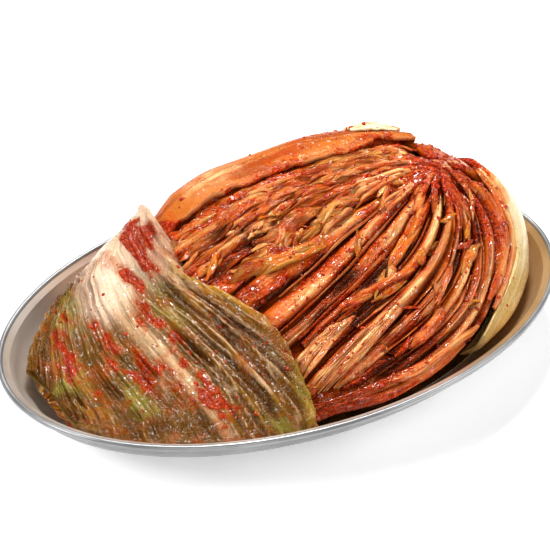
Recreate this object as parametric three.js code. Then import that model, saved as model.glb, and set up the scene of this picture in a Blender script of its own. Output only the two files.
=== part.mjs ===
// A half head of whole cabbage kimchi, cut side up, in an oval steel dish.
// Millimetres, +Z up. The origin is the middle of the dish's foot; +X runs along
// the dish towards the stem end of the cabbage, and +Y towards its high back edge.
import * as THREE from "three";
import { mergeVertices } from "three/addons/utils/BufferGeometryUtils.js";

// ---- driving dimensions -------------------------------------------------

// Dish: half length and half width over the rim, height, sheet thickness.
const DISH = { halfLength: 150, halfWidth: 100, height: 36, sheet: 1.2, floorInset: 50 };
// Outside of the wall, as inset from the rim and drop below it.
const WALL_OUTSIDE = [[5.8, 5.5], [8.8, 12.5], [15, 17.8], [24, 24.7], [39, 31]];
// Inside of the wall, from the foot of the flange down to the floor's edge.
const WALL_INSIDE = [[39.5, 29.8], [24.7, 23.6], [15.8, 16.9], [9.9, 12], [7, 5.3], [6.2, 2.6]];
const BEAD_RADIUS = 1.5;

// Head: its reach to the left and right, half widths at the back and front, and the
// height of its waist.
const HEAD = { left: 134, right: 133, back: 80, front: 83.5, waist: 27, foot: 1.8 };
const BACK_POWER = 1.87;
// The head narrows below its waist: [height, scale of the outline].
const TUCK = [[27, 1], [20, 0.93], [12, 0.78], [6, 0.63], [HEAD.foot, 0.5]];
const RIDGE = { height: 71.8, rise: 0.138, left: [1.5, 0.95], right: [5, 0.425] };

// Leaf layer round the heart: its depth and the gap that keeps solids apart.
const RIB_DEPTH = 7;
const RIB_CLEAR = 1.2;
const GAP = 0.6;
const JUICE_LEVEL = 12;

// Angles and extra stations of the heart's sections, closer together where the leaf
// over it changes, and how far behind the back leaf's edge the heart drops.
const HEART_ANGLES = [
  0, 15, 30, 45, 60, 72, 82, 88, 90, 92, 94, 98, 104, 112, 121, 130, 140, 150, 160, 170, 180,
];
const HEART_BREAKS = [-92, -86, -72, -60, -36, -24, 92, 97, 110, 114];
const OPEN_MARGIN = 4;
const LEAF_END_DEPTH = 0.4;

// Stem: where the leaves meet, the radius at which they leave it, and its own profile
// as [radius, height over the head's surface].
const STEM = { x: 96, y: 8, radius: 5, profile: [[6, -RIB_DEPTH], [8, -4], [7, -2]] };
// Leaf lines that fan out of the stem, from the back edge to the front one. A line
// leaves the stem at one heading and lands at [x, y] with another, in degrees.
const FAN = [
  { t: 0.0, leave: 100, land: 178, at: [-51, 48], out: 0.25 },
  { t: 0.18, leave: 132, land: 179, at: [-57, 32], out: 0.34 },
  { t: 0.34, leave: 160, land: 181, at: [-56, 12], out: 0.38 },
  { t: 0.456, leave: 184, land: 183, at: [-48, -12.6], out: 0.43 },
  { t: 0.522, leave: 191, land: 182, at: [-38, -32.6], out: 0.41 },
  { t: 0.579, leave: 208, land: 193, at: [-36, -47], out: 0.42 },
  { t: 0.63, leave: 225, land: 200, at: [-35, -56], out: 0.46 },
  { t: 0.681, leave: 242, land: 207, at: [-36, -63.5], out: 0.45 },
  { t: 0.737, leave: 257, land: 200, at: [-34, -73.2], out: 0.33 },
  { t: 0.788, leave: 265, land: 195, at: [-20, -75], out: 0.42 },
  { t: 0.836, leave: 273, land: 188, at: [-12, -76.5], out: 0.44 },
  { t: 0.882, leave: 284, land: 188, at: [6, -78.5], out: 0.45 },
  { t: 0.928, leave: 296, land: 190, at: [24, -79], out: 0.46 },
  { t: 0.975, leave: 322, land: 194, at: [43, -77], out: 0.49 },
  { t: 1.0, leave: 340, land: 198, at: [52, -74.5], out: 0.56 },
];
const FAN_ARRIVE = 0.4;

// Thick leaf ribs of the front half: [first line, last line, start, end, crown].
const RIBS = {
  rib_flat: [0.423, 0.488, 0.1, 0.97, 0.7],
  rib_pale: [0.494, 0.549, 0.07, 0.99, 0.85],
  rib_split: [0.555, 0.602, 0.09, 1, 0.75],
  rib_short: [0.608, 0.65, 0.06, 0.9, 0.95],
  rib_broad: [0.656, 0.706, 0.045, 0.99, 0.9],
  rib_long: [0.712, 0.762, 0.05, 1, 1],
  rib_curled: [0.768, 0.808, 0.06, 0.78, 1],
  rib_torn: [0.814, 0.858, 0.045, 0.8, 0.8],
  rib_deep: [0.864, 0.9, 0.05, 0.94, 0.9],
  rib_front: [0.906, 0.949, 0.045, 0.97, 1],
  rib_rim: [0.955, 1, 0.045, 0.95, 1],
};
// Clump of seasoning paste in the hollow beyond the torn rib.
const PASTE = [0.814, 0.858, 0.83, 0.99, 1];
// Thin crumpled inner leaves of the back half: [first line, last line, start, end, waves].
const INNER_LEAVES = {
  inner_leaf_1: [0.01, 0.064, 0.07, 0.98, 5],
  inner_leaf_2: [0.07, 0.124, 0.12, 0.93, 7],
  inner_leaf_3: [0.13, 0.18, 0.07, 0.99, 6],
  inner_leaf_4: [0.186, 0.24, 0.11, 0.9, 8],
  inner_leaf_5: [0.246, 0.3, 0.08, 0.97, 6],
  inner_leaf_6: [0.306, 0.36, 0.12, 0.99, 7],
  inner_leaf_7: [0.366, 0.417, 0.08, 0.94, 5],
};
const INNER = { thickness: 1.8, wave: 1.5, depth: 3.6 };

// Outer leaves. Each lies in a layer, given by the height of its inner face over
// the head's surface.
const WRAP = { left: -129, low: 17, thickness: 2, layer: 0.8, rib: 2.2, curl: 1.4 };
// Right edge of the wrapped leaf: [angle round the head, x].
const WRAP_EDGE = [
  [0, -37], [78, -38], [89, -39.5], [95, -45], [101, -49], [105, -49.5], [110, -45], [118, -38],
  [127, -30.5], [134, -28.5], [144, -28.5], [155, -31], [170, -33], [240, -36],
];
// Its midrib: [angle, x, half width].
const WRAP_MIDRIB = [
  [0, -60, 15], [80, -64, 15], [95, -76, 11], [110, -80, 8], [126, -79, 6], [145, -76, 4], [240, -66, 4],
];
// The wrap's upper back corner stands up: [angle, its spread, height].
const WRAP_CORNER = [70, 24, 3];
const LEFT_LEAF = { right: -98, left: -132.5, angles: [16, 150], thickness: 2, layer: -3 };
// The back leaf comes out from under the wrap and then stands proud of the head. Its
// upper edge runs along [x, y].
const BACK_LEAF = {
  left: -48, right: 98, low: 15, thickness: 2.4, layer: [[-36, -2.8], [-24, 0.8]],
  top: [[-48, 51], [-10, 50], [6, 48], [45, 45], [66, 42], [80, 38], [98, 32]],
};
const TIP_LEAF = {
  left: 71, right: 95, low: 50, thickness: 1.8, layer: [[71, 3.6], [95, 3.6]], stand: 3,
  top: [[71, 56], [82, 50], [95, 43]],
};
const CROWN = {
  from: -1, to: 84, swing: [-0.6, 0.1], start: 11, margin: 3, backMargin: 7,
  thickness: 3, layer: -4.2, heart: [92, 97],
};
// Top of the outer leaf and its thickness: [turn about its centre, height, thickness].
const OUTER_LEAF = {
  from: 50, to: -80, low: 18, layer: 1, centre: [60, -5],
  top: [
    [50, 58], [20, 66], [2, 65], [-10, 58], [-18, 50], [-28, 43], [-48, 38], [-64, 35], [-80, 30],
  ],
  thickness: [[50, 3], [20, 6], [0, 7], [-15, 5.5], [-30, 4], [-55, 3], [-80, 2]],
};

const COLOURS = {
  steel: { color: "#b9b9b6", roughness: 0.3, metalness: 1 },
  juice: { color: "#4a2f12", roughness: 0.1, metalness: 0 },
  heart: { color: "#8c2a12", roughness: 0.4, metalness: 0 },
  rib: { color: "#d9812f", roughness: 0.35, metalness: 0 },
  inner: { color: "#c4702a", roughness: 0.4, metalness: 0 },
  pale: { color: "#e2d6a0", roughness: 0.4, metalness: 0 },
  green: { color: "#85793a", roughness: 0.4, metalness: 0 },
  orange: { color: "#cf6f22", roughness: 0.35, metalness: 0 },
};

// ---- small maths --------------------------------------------------------

const { PI, abs, cos, sin, pow, max, min, hypot } = Math;
const rad = THREE.MathUtils.degToRad;
const lerp = THREE.MathUtils.lerp;
const smooth = (a, b, v) => (a < b
  ? THREE.MathUtils.smoothstep(v, a, b)
  : 1 - THREE.MathUtils.smoothstep(v, b, a));
const steps = (n, a = 0, b = 1) => Array.from({ length: n + 1 }, (_, i) => lerp(a, b, i / n));
const root = (v, p) => pow(max(v, 0), p);
const bell = (v, spread) => Math.exp(-pow(v / spread, 2));

// Value at v of a line through [v, value] points, in rising or falling order.
function along(points, v) {
  const sign = points[1][0] > points[0][0] ? 1 : -1;
  const i = points.findIndex((p) => sign * (p[0] - v) >= 0);
  if (i === 0) return points[0][1];
  if (i < 0) return points[points.length - 1][1];
  const [a, b] = [points[i - 1], points[i]];
  return lerp(a[1], b[1], (v - a[0]) / (b[0] - a[0]));
}

// ---- the head's surface -------------------------------------------------

// Half widths of the outline at x, fuller at the front of the leaf end.
const endward = (x) => abs(x) / (x < 0 ? HEAD.left : HEAD.right);

function backY(x) {
  return HEAD.back * root(1 - pow(endward(x), BACK_POWER), 1 / BACK_POWER);
}

function frontY(x) {
  const n = 2.3 - 0.45 * smooth(-60, 70, x);
  return -HEAD.front * root(1 - pow(endward(x), n), 1 / n);
}

// The ridge runs near the back edge and is highest towards the stem.
function ridgeY(x) {
  return (0.72 - 0.44 * smooth(60, 130, x)) * backY(x);
}

function ridgeZ(x) {
  const top = RIDGE.height + RIDGE.rise * x;
  const [p, q] = x < 0 ? RIDGE.left : RIDGE.right;
  return HEAD.waist + (top - HEAD.waist) * root(1 - pow(endward(x), p), q);
}

// Powers of the section's outline: [across, up] for its back and its front.
const BACK_POWERS = [5.4, 2.2];
const FRONT_POWERS = [2.1, 1.5];

function headZ(x, y) {
  const yr = ridgeY(x);
  const back = y > yr;
  const v = min(abs((y - yr) / ((back ? backY(x) : frontY(x)) - yr || 1)), 1);
  const [p, q] = back ? BACK_POWERS : FRONT_POWERS;
  return HEAD.waist + (ridgeZ(x) - HEAD.waist) * root(1 - pow(v, p), 1 / q);
}

// Point of the section at x. The angle goes from -90 degrees at the foot of the
// back, by 0 at the waist and 90 at the ridge, to 270 at the foot of the front.
function skin(x, angle) {
  if (angle < 0 || angle > 180) {
    const drop = (angle < 0 ? -angle : angle - 180) / 90;
    const z = lerp(HEAD.waist, HEAD.foot, drop);
    const k = along(TUCK, z);
    return new THREE.Vector3(k * x, k * (angle < 0 ? backY(x) : frontY(x)), z);
  }
  const a = rad(angle);
  const [p, q] = angle < 90 ? BACK_POWERS : FRONT_POWERS;
  const yr = ridgeY(x);
  const side = angle < 90 ? backY(x) : frontY(x);
  const y = yr + (side - yr) * pow(abs(cos(a)), 2 / p);
  return new THREE.Vector3(x, y, HEAD.waist + (ridgeZ(x) - HEAD.waist) * pow(abs(sin(a)), 2 / q));
}

// Angle on the section at x where the skin is at height z, on the back or front side.
function angleAt(x, z, back) {
  if (z <= HEAD.waist) {
    const drop = 90 * (HEAD.waist - z) / (HEAD.waist - HEAD.foot);
    return back ? -drop : 180 + drop;
  }
  const k = min((z - HEAD.waist) / max(ridgeZ(x) - HEAD.waist, 0.1), 1);
  const a = THREE.MathUtils.radToDeg(Math.asin(pow(k, (back ? BACK_POWERS : FRONT_POWERS)[1] / 2)));
  return back ? a : 180 - a;
}

// Angle of the head's section at x over plan position y.
function angleOverY(x, y) {
  const yr = ridgeY(x);
  const back = y > yr;
  const v = THREE.MathUtils.clamp((y - yr) / ((back ? backY(x) : frontY(x)) - yr), 0, 1);
  const a = THREE.MathUtils.radToDeg(Math.acos(pow(v, (back ? BACK_POWERS : FRONT_POWERS)[0] / 2)));
  return back ? a : 180 - a;
}

// Angles across a leaf that lies over the head at x, from the height low at its back
// to the same height at its front, with a row of points on each waist.
function across(x, low, waist, over) {
  return [
    ...steps(waist, angleAt(x, low, true), 0),
    ...steps(over, 0, 180).slice(1),
    ...steps(waist, 180, angleAt(x, low, false)).slice(1),
  ];
}

// Unit normal from three points of a surface, turned towards the outside.
function outward(p, pu, pv) {
  const n = new THREE.Vector3().crossVectors(pu.sub(p), pv.sub(p)).normalize();
  const out = new THREE.Vector3(p.x, p.y, p.z - HEAD.waist);
  return n.dot(out) < 0 ? n.negate() : n;
}

// Point of the skin, moved out along its normal.
function skinOff(x, angle, off) {
  const xs = THREE.MathUtils.clamp(x, 0.5 - HEAD.left, HEAD.right - 0.5);
  const dx = xs > 0 ? -0.4 : 0.4;
  const da = angle > 90 ? -2 : 2;
  const p = skin(xs, angle);
  const n = outward(p, skin(xs + dx, angle), skin(xs, angle + da));
  return skin(x, angle).addScaledVector(n, off);
}

// Point over plan position [x, y], moved out along the dome's normal.
function domeOff(x, y, off) {
  const p = new THREE.Vector3(x, y, headZ(x, y));
  const d = 1;
  const n = new THREE.Vector3(headZ(x - d, y) - headZ(x + d, y), headZ(x, y - d) - headZ(x, y + d), 2 * d);
  return p.addScaledVector(n.normalize(), off);
}

// Plan position of fraction s along leaf line t.
function fan(s, t) {
  const i = max(1, FAN.findIndex((row) => row.t >= t - 1e-9));
  const [a, b] = [FAN[i - 1], FAN[i]];
  const f = (t - a.t) / (b.t - a.t);
  const leave = rad(lerp(a.leave, b.leave, f));
  const land = rad(lerp(a.land, b.land, f));
  const end = new THREE.Vector2(lerp(a.at[0], b.at[0], f), lerp(a.at[1], b.at[1], f));
  const start = new THREE.Vector2(STEM.x + STEM.radius * cos(leave), STEM.y + STEM.radius * sin(leave));
  const reach = start.distanceTo(end);
  const out = lerp(a.out, b.out, f) * reach;
  const first = new THREE.Vector2(cos(leave), sin(leave)).multiplyScalar(out).add(start);
  const last = new THREE.Vector2(cos(land), sin(land)).multiplyScalar(-FAN_ARRIVE * reach).add(end);
  return new THREE.CubicBezierCurve(start, first, last, end).getPoint(s);
}

function fanOff(s, t, off) {
  const p = fan(s, t);
  return domeOff(p.x, p.y, off);
}

// ---- solids from grids --------------------------------------------------

// Closed geometry from rows of points. Each list of quads is [a, b, c, d] points.
function fromQuads(quads) {
  const position = [];
  for (const [a, b, c, d] of quads) {
    for (const p of [a, b, c, a, c, d]) position.push(p.x, p.y, p.z);
  }
  const soup = new THREE.BufferGeometry();
  soup.setAttribute("position", new THREE.Float32BufferAttribute(position, 3));
  const merged = mergeVertices(soup, 1e-4);
  const index = merged.getIndex().array;
  const kept = [];
  for (let i = 0; i < index.length; i += 3) {
    const [a, b, c] = [index[i], index[i + 1], index[i + 2]];
    if (a !== b && b !== c && a !== c) kept.push(a, b, c);
  }
  merged.setIndex(kept);
  if (volume(merged) < 0) merged.setIndex(kept.reverse());
  merged.computeVertexNormals();
  return merged;
}

function volume(geometry) {
  const p = geometry.getAttribute("position");
  const index = geometry.getIndex().array;
  const [a, b, c] = [new THREE.Vector3(), new THREE.Vector3(), new THREE.Vector3()];
  let sum = 0;
  for (let i = 0; i < index.length; i += 3) {
    a.fromBufferAttribute(p, index[i]);
    b.fromBufferAttribute(p, index[i + 1]);
    c.fromBufferAttribute(p, index[i + 2]);
    sum += a.dot(b.cross(c)) / 6;
  }
  return sum;
}

// Leaf: an outer and an inner grid of points, joined round their edges.
function leafSolid(outer, inner) {
  const quads = [];
  const rows = outer.length - 1;
  const columns = outer[0].length - 1;
  for (let i = 0; i < rows; i++) {
    for (let j = 0; j < columns; j++) {
      quads.push([outer[i][j], outer[i + 1][j], outer[i + 1][j + 1], outer[i][j + 1]]);
      quads.push([inner[i][j + 1], inner[i + 1][j + 1], inner[i + 1][j], inner[i][j]]);
    }
  }
  for (let i = 0; i < rows; i++) {
    quads.push([inner[i][0], inner[i + 1][0], outer[i + 1][0], outer[i][0]]);
    quads.push([outer[i][columns], outer[i + 1][columns], inner[i + 1][columns], inner[i][columns]]);
  }
  for (let j = 0; j < columns; j++) {
    quads.push([outer[0][j], outer[0][j + 1], inner[0][j + 1], inner[0][j]]);
    quads.push([inner[rows][j], inner[rows][j + 1], outer[rows][j + 1], outer[rows][j]]);
  }
  return fromQuads(quads);
}

// Solid lofted through closed rings, with a fan of triangles at each end.
function loft(rings) {
  const quads = [];
  const n = rings[0].length;
  for (let i = 0; i < rings.length - 1; i++) {
    for (let j = 0; j < n; j++) {
      const k = (j + 1) % n;
      quads.push([rings[i][j], rings[i + 1][j], rings[i + 1][k], rings[i][k]]);
    }
  }
  for (const [ring, turned] of [[rings[0], false], [rings[rings.length - 1], true]]) {
    const middle = ring.reduce((sum, p) => sum.add(p), new THREE.Vector3()).divideScalar(n);
    for (let j = 0; j < n; j++) {
      const k = (j + 1) % n;
      quads.push(turned ? [middle, ring[k], ring[j], middle] : [middle, ring[j], ring[k], middle]);
    }
  }
  return fromQuads(quads);
}

// Solid swept round a closed loop of sections.
function loop(sections) {
  const quads = [];
  const n = sections[0].length;
  sections.forEach((section, i) => {
    const next = sections[(i + 1) % sections.length];
    for (let j = 0; j < n; j++) {
      const k = (j + 1) % n;
      quads.push([section[j], next[j], next[k], section[k]]);
    }
  });
  return fromQuads(quads);
}

// ---- the pieces ---------------------------------------------------------

// Oval at a given inset from the rim.
function oval(inset, z, turn) {
  return new THREE.Vector3(
    (DISH.halfLength - inset) * cos(turn), (DISH.halfWidth - inset) * sin(turn), z);
}

function dishGeometry() {
  const top = DISH.height;
  const bead = steps(4, -50, 190).map((a) => [
    BEAD_RADIUS - BEAD_RADIUS * cos(rad(a)), BEAD_RADIUS - BEAD_RADIUS * sin(rad(a))]);
  const profile = [
    [DISH.floorInset, top],
    ...WALL_OUTSIDE.slice().reverse(),
    [5, 3.9],
    [3.2, 2.9],
    ...bead,
    ...WALL_INSIDE.slice().reverse(),
    [DISH.floorInset, top - DISH.sheet],
  ];
  const turns = steps(56, 0, 2 * PI);
  const quads = [];
  for (let i = 0; i < turns.length - 1; i++) {
    const column = (turn) => [
      new THREE.Vector3(0, 0, 0),
      ...profile.map(([inset, drop]) => oval(inset, top - drop, turn % (2 * PI))),
      new THREE.Vector3(0, 0, DISH.sheet),
    ];
    const a = column(turns[i]);
    const b = column(turns[i + 1]);
    for (let j = 0; j < a.length - 1; j++) quads.push([a[j], a[j + 1], b[j + 1], b[j]]);
  }
  return fromQuads(quads);
}

// Outline of the head at a turn about +Z, at the height z below its waist.
function outline(turn, z, out) {
  const x = (cos(turn) < 0 ? HEAD.left : HEAD.right) * cos(turn);
  const k = along(TUCK, z);
  const y = sin(turn) > 0 ? backY(x) : frontY(x);
  const p = new THREE.Vector3(k * x, k * y, z);
  const grow = 1 + out / max(hypot(p.x, p.y), 1);
  return new THREE.Vector3(p.x * grow, p.y * grow, z);
}

// Shallow ring of juice between the foot of the head and the wall of the dish.
function juiceGeometry() {
  const levels = [2.2, 6, JUICE_LEVEL];
  const wallInset = (z) => along([...WALL_INSIDE].concat([[DISH.floorInset, DISH.height - DISH.sheet]])
    .map(([inset, drop]) => [DISH.height - drop, inset]).sort((a, b) => a[0] - b[0]), z);
  const sections = steps(48, 0, 2 * PI).slice(0, -1).map((turn) => [
    ...levels.map((z) => oval(wallInset(z) + GAP + 0.3, z, turn)),
    ...levels.slice().reverse().map((z) => outline(turn, z, GAP + 0.5)),
  ]);
  return loop(sections);
}

// Depth of the heart below the head's surface, under the leaves that cover it.
function heartDepth(x, angle) {
  const p = skin(x, angle);
  const [underBack, underCrown, underLeft, underRibs] = [
    -along(BACK_LEAF.layer, x), -CROWN.layer, -LEFT_LEAF.layer, RIB_DEPTH,
  ].map((depth) => depth + RIB_CLEAR);
  const open = angle > angleOverY(x, along(BACK_LEAF.top, x) + OPEN_MARGIN);
  const topSide = open
    ? lerp(underRibs, underCrown, smooth(118, 122, x - 0.9 * max(0, -p.y)))
    : lerp(underBack, underCrown, smooth(...CROWN.heart, x));
  const leafEnd = lerp(LEAF_END_DEPTH, underLeft, smooth(-86, -92, x));
  const depth = lerp(leafEnd, topSide, smooth(-72, -60, x));
  const frontFoot = x < -70 ? smooth(250, 222, angle) : smooth(235, 190, angle);
  return depth * (angle > 180 ? frontFoot : smooth(-80, -52, angle));
}

// The packed heart of the head, from its foot in the dish up to the leaf layer.
function heartGeometry() {
  const angles = [...steps(3, -90, -15), ...HEART_ANGLES, ...steps(3, 195, 270)];
  const [left, right] = [3 - HEAD.left, HEAD.right - 3];
  const stations = steps(26, PI, 0).map((a) => lerp(left, right, (1 + cos(a)) / 2));
  const rings = [...stations, ...HEART_BREAKS].sort((a, b) => a - b)
    .map((x) => angles.map((angle) => skinOff(x, angle, -heartDepth(x, angle))));
  return loft(rings);
}

// Thick rib: a rounded strip between two leaf lines.
function ribGeometry([t0, t1, from, to, crown]) {
  const across = [0, 0, 0.22, 0.5, 0.78, 1, 1, 0.5];
  const height = [-0.94, -0.5, -0.12, 0, -0.12, -0.5, -0.94, -1];
  const rings = steps(12, from, to).map((s) => {
    const taper = smooth(0, 0.12, (s - from) / (to - from)) * smooth(1, 0.9, (s - from) / (to - from));
    const rise = lerp(0.55, 1, taper) * crown;
    return across.map((a, k) => {
      const up = k === 0 || k >= 6 ? height[k] : lerp(-0.94, height[k], rise);
      return fanOff(s, lerp(t0, t1, a), RIB_DEPTH * up);
    });
  });
  return loft(rings);
}

// Thin inner leaf: a wavy sheet between two leaf lines.
function innerLeafGeometry([t0, t1, from, to, waves]) {
  const side = (off) => steps(12, from, to).map((s) => steps(3).map((a) => {
    const wave = INNER.wave * sin(2 * PI * waves * s + 5 * a) * (0.6 + 0.4 * cos(9 * a));
    return fanOff(s, lerp(t0, t1, a), off - INNER.depth + wave);
  }));
  return leafSolid(side(INNER.thickness / 2), side(-INNER.thickness / 2));
}

function stemGeometry() {
  const turns = steps(10, 0, 2 * PI).slice(0, -1);
  const rings = STEM.profile.map(([radius, off]) => turns.map((turn) => (
    domeOff(STEM.x + radius * cos(turn), STEM.y + radius * sin(turn), off)
  )));
  return loft(rings);
}

// Green leaf wrapped over the leaf end, crossways to the head, with its midrib.
function wrapGeometry() {
  const rows = across(-70, WRAP.low, 2, 15);
  const [cornerAngle, cornerSpread, cornerHeight] = WRAP_CORNER;
  const side = (off) => steps(16).map((u) => 1 - pow(1 - u, 1.4)).map((a) => rows.map((angle, j) => {
    const b = j / (rows.length - 1);
    const arch = pow(sin(PI * b), 1.5);
    const x = lerp(along(WRAP_EDGE, angle), WRAP.left, a);
    const halfRib = along(WRAP_MIDRIB.map(([at, , half]) => [at, half]), angle);
    const rib = WRAP.rib * bell(x - along(WRAP_MIDRIB, angle), halfRib);
    const corner = cornerHeight * bell(angle - cornerAngle, cornerSpread) * smooth(0.25, 0, a);
    const curl = WRAP.curl * smooth(0.1, 0, a);
    const ripple = 0.5 + 0.5 * sin(0.24 * x + 5 * b);
    return skinOff(x, angle, WRAP.layer + off + (rib + corner + curl + ripple) * arch);
  }));
  return leafSolid(side(WRAP.thickness), side(0));
}

// Leaf under the wrap that closes the far end of the head.
function leftLeafGeometry() {
  const stations = steps(8, 0, PI / 2).map((u) => lerp(LEFT_LEAF.right, LEFT_LEAF.left, sin(u)));
  const side = (off) => stations.map((x) => (
    steps(13, ...LEFT_LEAF.angles).map((angle) => skinOff(x, angle, LEFT_LEAF.layer + off))
  ));
  return leafSolid(side(LEFT_LEAF.thickness), side(0));
}

// Broad leaf along the back edge, or the pale tip of a second one that shows above it.
function backLeafGeometry(leaf, columns, over) {
  const side = (off) => steps(columns, leaf.left, leaf.right).map((x) => {
    const foot = angleAt(x, leaf.low, true);
    const top = angleOverY(x, min(along(leaf.top, x), 0.93 * backY(x)));
    const layer = along(leaf.layer, x);
    const stand = (leaf.stand || 0) * sin(PI * (x - leaf.left) / (leaf.right - leaf.left));
    const rise = steps(over, 0, PI / 2).map(sin);
    const angles = foot < 0
      ? [...steps(2, foot, 0), ...rise.slice(1).map((k) => k * top)]
      : rise.map((k) => lerp(foot, top, k));
    return angles.map((angle, i) => {
      const ripple = 0.4 * sin(0.11 * x + 0.03 * angle) * smooth(0, 40, angle);
      return skinOff(x, angle, layer + off + ripple + stand * pow(i / (angles.length - 1), 1.5));
    });
  });
  return leafSolid(side(leaf.thickness), side(0));
}

// How far the head's outline lies from the stem, on a ray that swings as it goes.
function reachOf(turnAt) {
  let far = CROWN.start;
  for (; far < HEAD.right; far += 0.5) {
    const x = STEM.x + far * cos(turnAt(far));
    const y = STEM.y + far * sin(turnAt(far));
    const { margin, backMargin } = CROWN;
    const backEdge = backY(x) - lerp(margin, backMargin, smooth(118, 106, x));
    if (x > HEAD.right - margin || y > backEdge || y < frontY(x) + margin) break;
  }
  return far;
}

// Leaf bases that close the stem end, in rays from the stem to the waist.
function crownGeometry() {
  const rays = steps(11).map((b) => {
    const turnAt = (reach) => {
      const swing = lerp(...CROWN.swing, b) * (reach - CROWN.start);
      return rad(lerp(CROWN.from, CROWN.to, b) + swing);
    };
    return { turnAt, far: reachOf(turnAt) };
  });
  const side = (off) => steps(7).map((a) => rays.map(({ turnAt, far }) => {
    const reach = lerp(CROWN.start, far, a);
    const turn = turnAt(reach);
    return domeOff(STEM.x + reach * cos(turn), STEM.y + reach * sin(turn), CROWN.layer + off);
  }));
  return leafSolid(side(CROWN.thickness), side(0));
}

// Point of the head's surface at height z, in a direction about the leaf's centre.
function surfaceAt(turn, z, centre) {
  const at = (r) => [centre[0] + r * cos(turn), centre[1] + r * sin(turn)];
  if (z <= HEAD.waist) {
    const k = along(TUCK, z);
    const p = surfaceAt(turn, HEAD.waist + 0.01, centre);
    return new THREE.Vector3(k * p.x, k * p.y, z);
  }
  let [low, high] = [0, 160];
  for (let i = 0; i < 40; i++) {
    const r = (low + high) / 2;
    const [x, y] = at(r);
    const outside = endward(x) >= 1 || y >= backY(x) || y <= frontY(x);
    if (outside || headZ(x, y) < z) high = r;
    else low = r;
  }
  const [x, y] = at(low);
  return new THREE.Vector3(x, y, z);
}

// Thick pale leaf that leans on the stem end, from high at the back to the juice.
function outerLeafGeometry() {
  const { from, to, low, centre } = OUTER_LEAF;
  const side = (out) => steps(22, from, to).map((turnDegrees) => {
    const turn = rad(turnDegrees);
    const top = along(OUTER_LEAF.top, turnDegrees);
    const thickness = along(OUTER_LEAF.thickness, turnDegrees);
    return steps(6).map((b) => {
      const z = lerp(low + 12 * smooth(20, from, turnDegrees), top, b);
      const p = surfaceAt(turn, z, centre);
      const q = surfaceAt(turn + 0.02, z, centre);
      const r = surfaceAt(turn, z - 0.5, centre);
      const n = outward(p.clone(), q, r);
      return p.addScaledVector(n, OUTER_LEAF.layer + out * thickness * (0.55 + 0.45 * sin(PI * b)));
    });
  });
  return leafSolid(side(1), side(0));
}

// ---- the part -----------------------------------------------------------

function piece(name, geometry, look) {
  const mesh = new THREE.Mesh(geometry, new THREE.MeshStandardMaterial(COLOURS[look]));
  mesh.name = name;
  return mesh;
}

const kimchi = new THREE.Group();
kimchi.name = "kimchi";
kimchi.add(piece("dish", dishGeometry(), "steel"));
kimchi.add(piece("juice", juiceGeometry(), "juice"));
kimchi.add(piece("heart", heartGeometry(), "heart"));
kimchi.add(piece("stem", stemGeometry(), "pale"));
for (const [name, rib] of Object.entries(RIBS)) kimchi.add(piece(name, ribGeometry(rib), "rib"));
kimchi.add(piece("paste", ribGeometry(PASTE), "heart"));
for (const [name, leaf] of Object.entries(INNER_LEAVES)) {
  kimchi.add(piece(name, innerLeafGeometry(leaf), "inner"));
}
kimchi.add(piece("wrap_leaf", wrapGeometry(), "green"));
kimchi.add(piece("left_leaf", leftLeafGeometry(), "green"));
kimchi.add(piece("back_leaf", backLeafGeometry(BACK_LEAF, 18, 8), "orange"));
kimchi.add(piece("tip_leaf", backLeafGeometry(TIP_LEAF, 8, 4), "pale"));
kimchi.add(piece("crown_leaf", crownGeometry(), "orange"));
kimchi.add(piece("outer_leaf", outerLeafGeometry(), "pale"));

export default kimchi;
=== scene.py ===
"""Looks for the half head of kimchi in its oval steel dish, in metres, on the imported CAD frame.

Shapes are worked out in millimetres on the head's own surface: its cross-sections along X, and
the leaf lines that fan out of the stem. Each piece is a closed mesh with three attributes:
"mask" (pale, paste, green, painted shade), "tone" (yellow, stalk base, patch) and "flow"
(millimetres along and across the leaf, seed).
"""
import math

import bpy
import numpy as np
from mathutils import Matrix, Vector
from mathutils.bvhtree import BVHTree


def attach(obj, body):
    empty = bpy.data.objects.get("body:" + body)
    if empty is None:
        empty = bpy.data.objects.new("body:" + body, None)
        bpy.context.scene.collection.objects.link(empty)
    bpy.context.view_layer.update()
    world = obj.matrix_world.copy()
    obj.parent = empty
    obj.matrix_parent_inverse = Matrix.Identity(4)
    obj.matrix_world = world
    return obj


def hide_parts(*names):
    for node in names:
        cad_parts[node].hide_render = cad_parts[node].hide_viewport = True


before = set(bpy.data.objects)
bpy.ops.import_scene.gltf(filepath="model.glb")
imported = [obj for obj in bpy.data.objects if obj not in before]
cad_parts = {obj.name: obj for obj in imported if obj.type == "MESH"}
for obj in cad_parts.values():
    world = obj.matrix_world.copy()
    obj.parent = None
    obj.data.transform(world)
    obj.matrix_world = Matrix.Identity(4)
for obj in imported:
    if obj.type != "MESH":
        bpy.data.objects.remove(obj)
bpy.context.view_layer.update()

PI = math.pi
MM = 0.001

# ---- driving dimensions, as in the CAD ------------------------------------

DISH = {"half_length": 150, "half_width": 100, "height": 36, "sheet": 1.2, "floor_inset": 50}
# The dish's wall: inset from the outline of the rim, and depth under its top.
WALL_OUTSIDE = [(5.8, 5.5), (8.8, 12.5), (15, 17.8), (24, 24.7), (39, 31)]
WALL_INSIDE = [(39.5, 29.8), (24.7, 23.6), (15.8, 16.9), (9.9, 12), (7, 5.3), (6.2, 2.6)]
FLOOR_DEPTH = DISH["height"] - DISH["sheet"]
FLANGE = [(5, 3.9), (3.2, 2.9)]
BEAD_RADIUS = 1.5
JUICE_LEVEL, JUICE_FOOT, JUICE_RIM = 12, 2.2, 0.3

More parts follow.
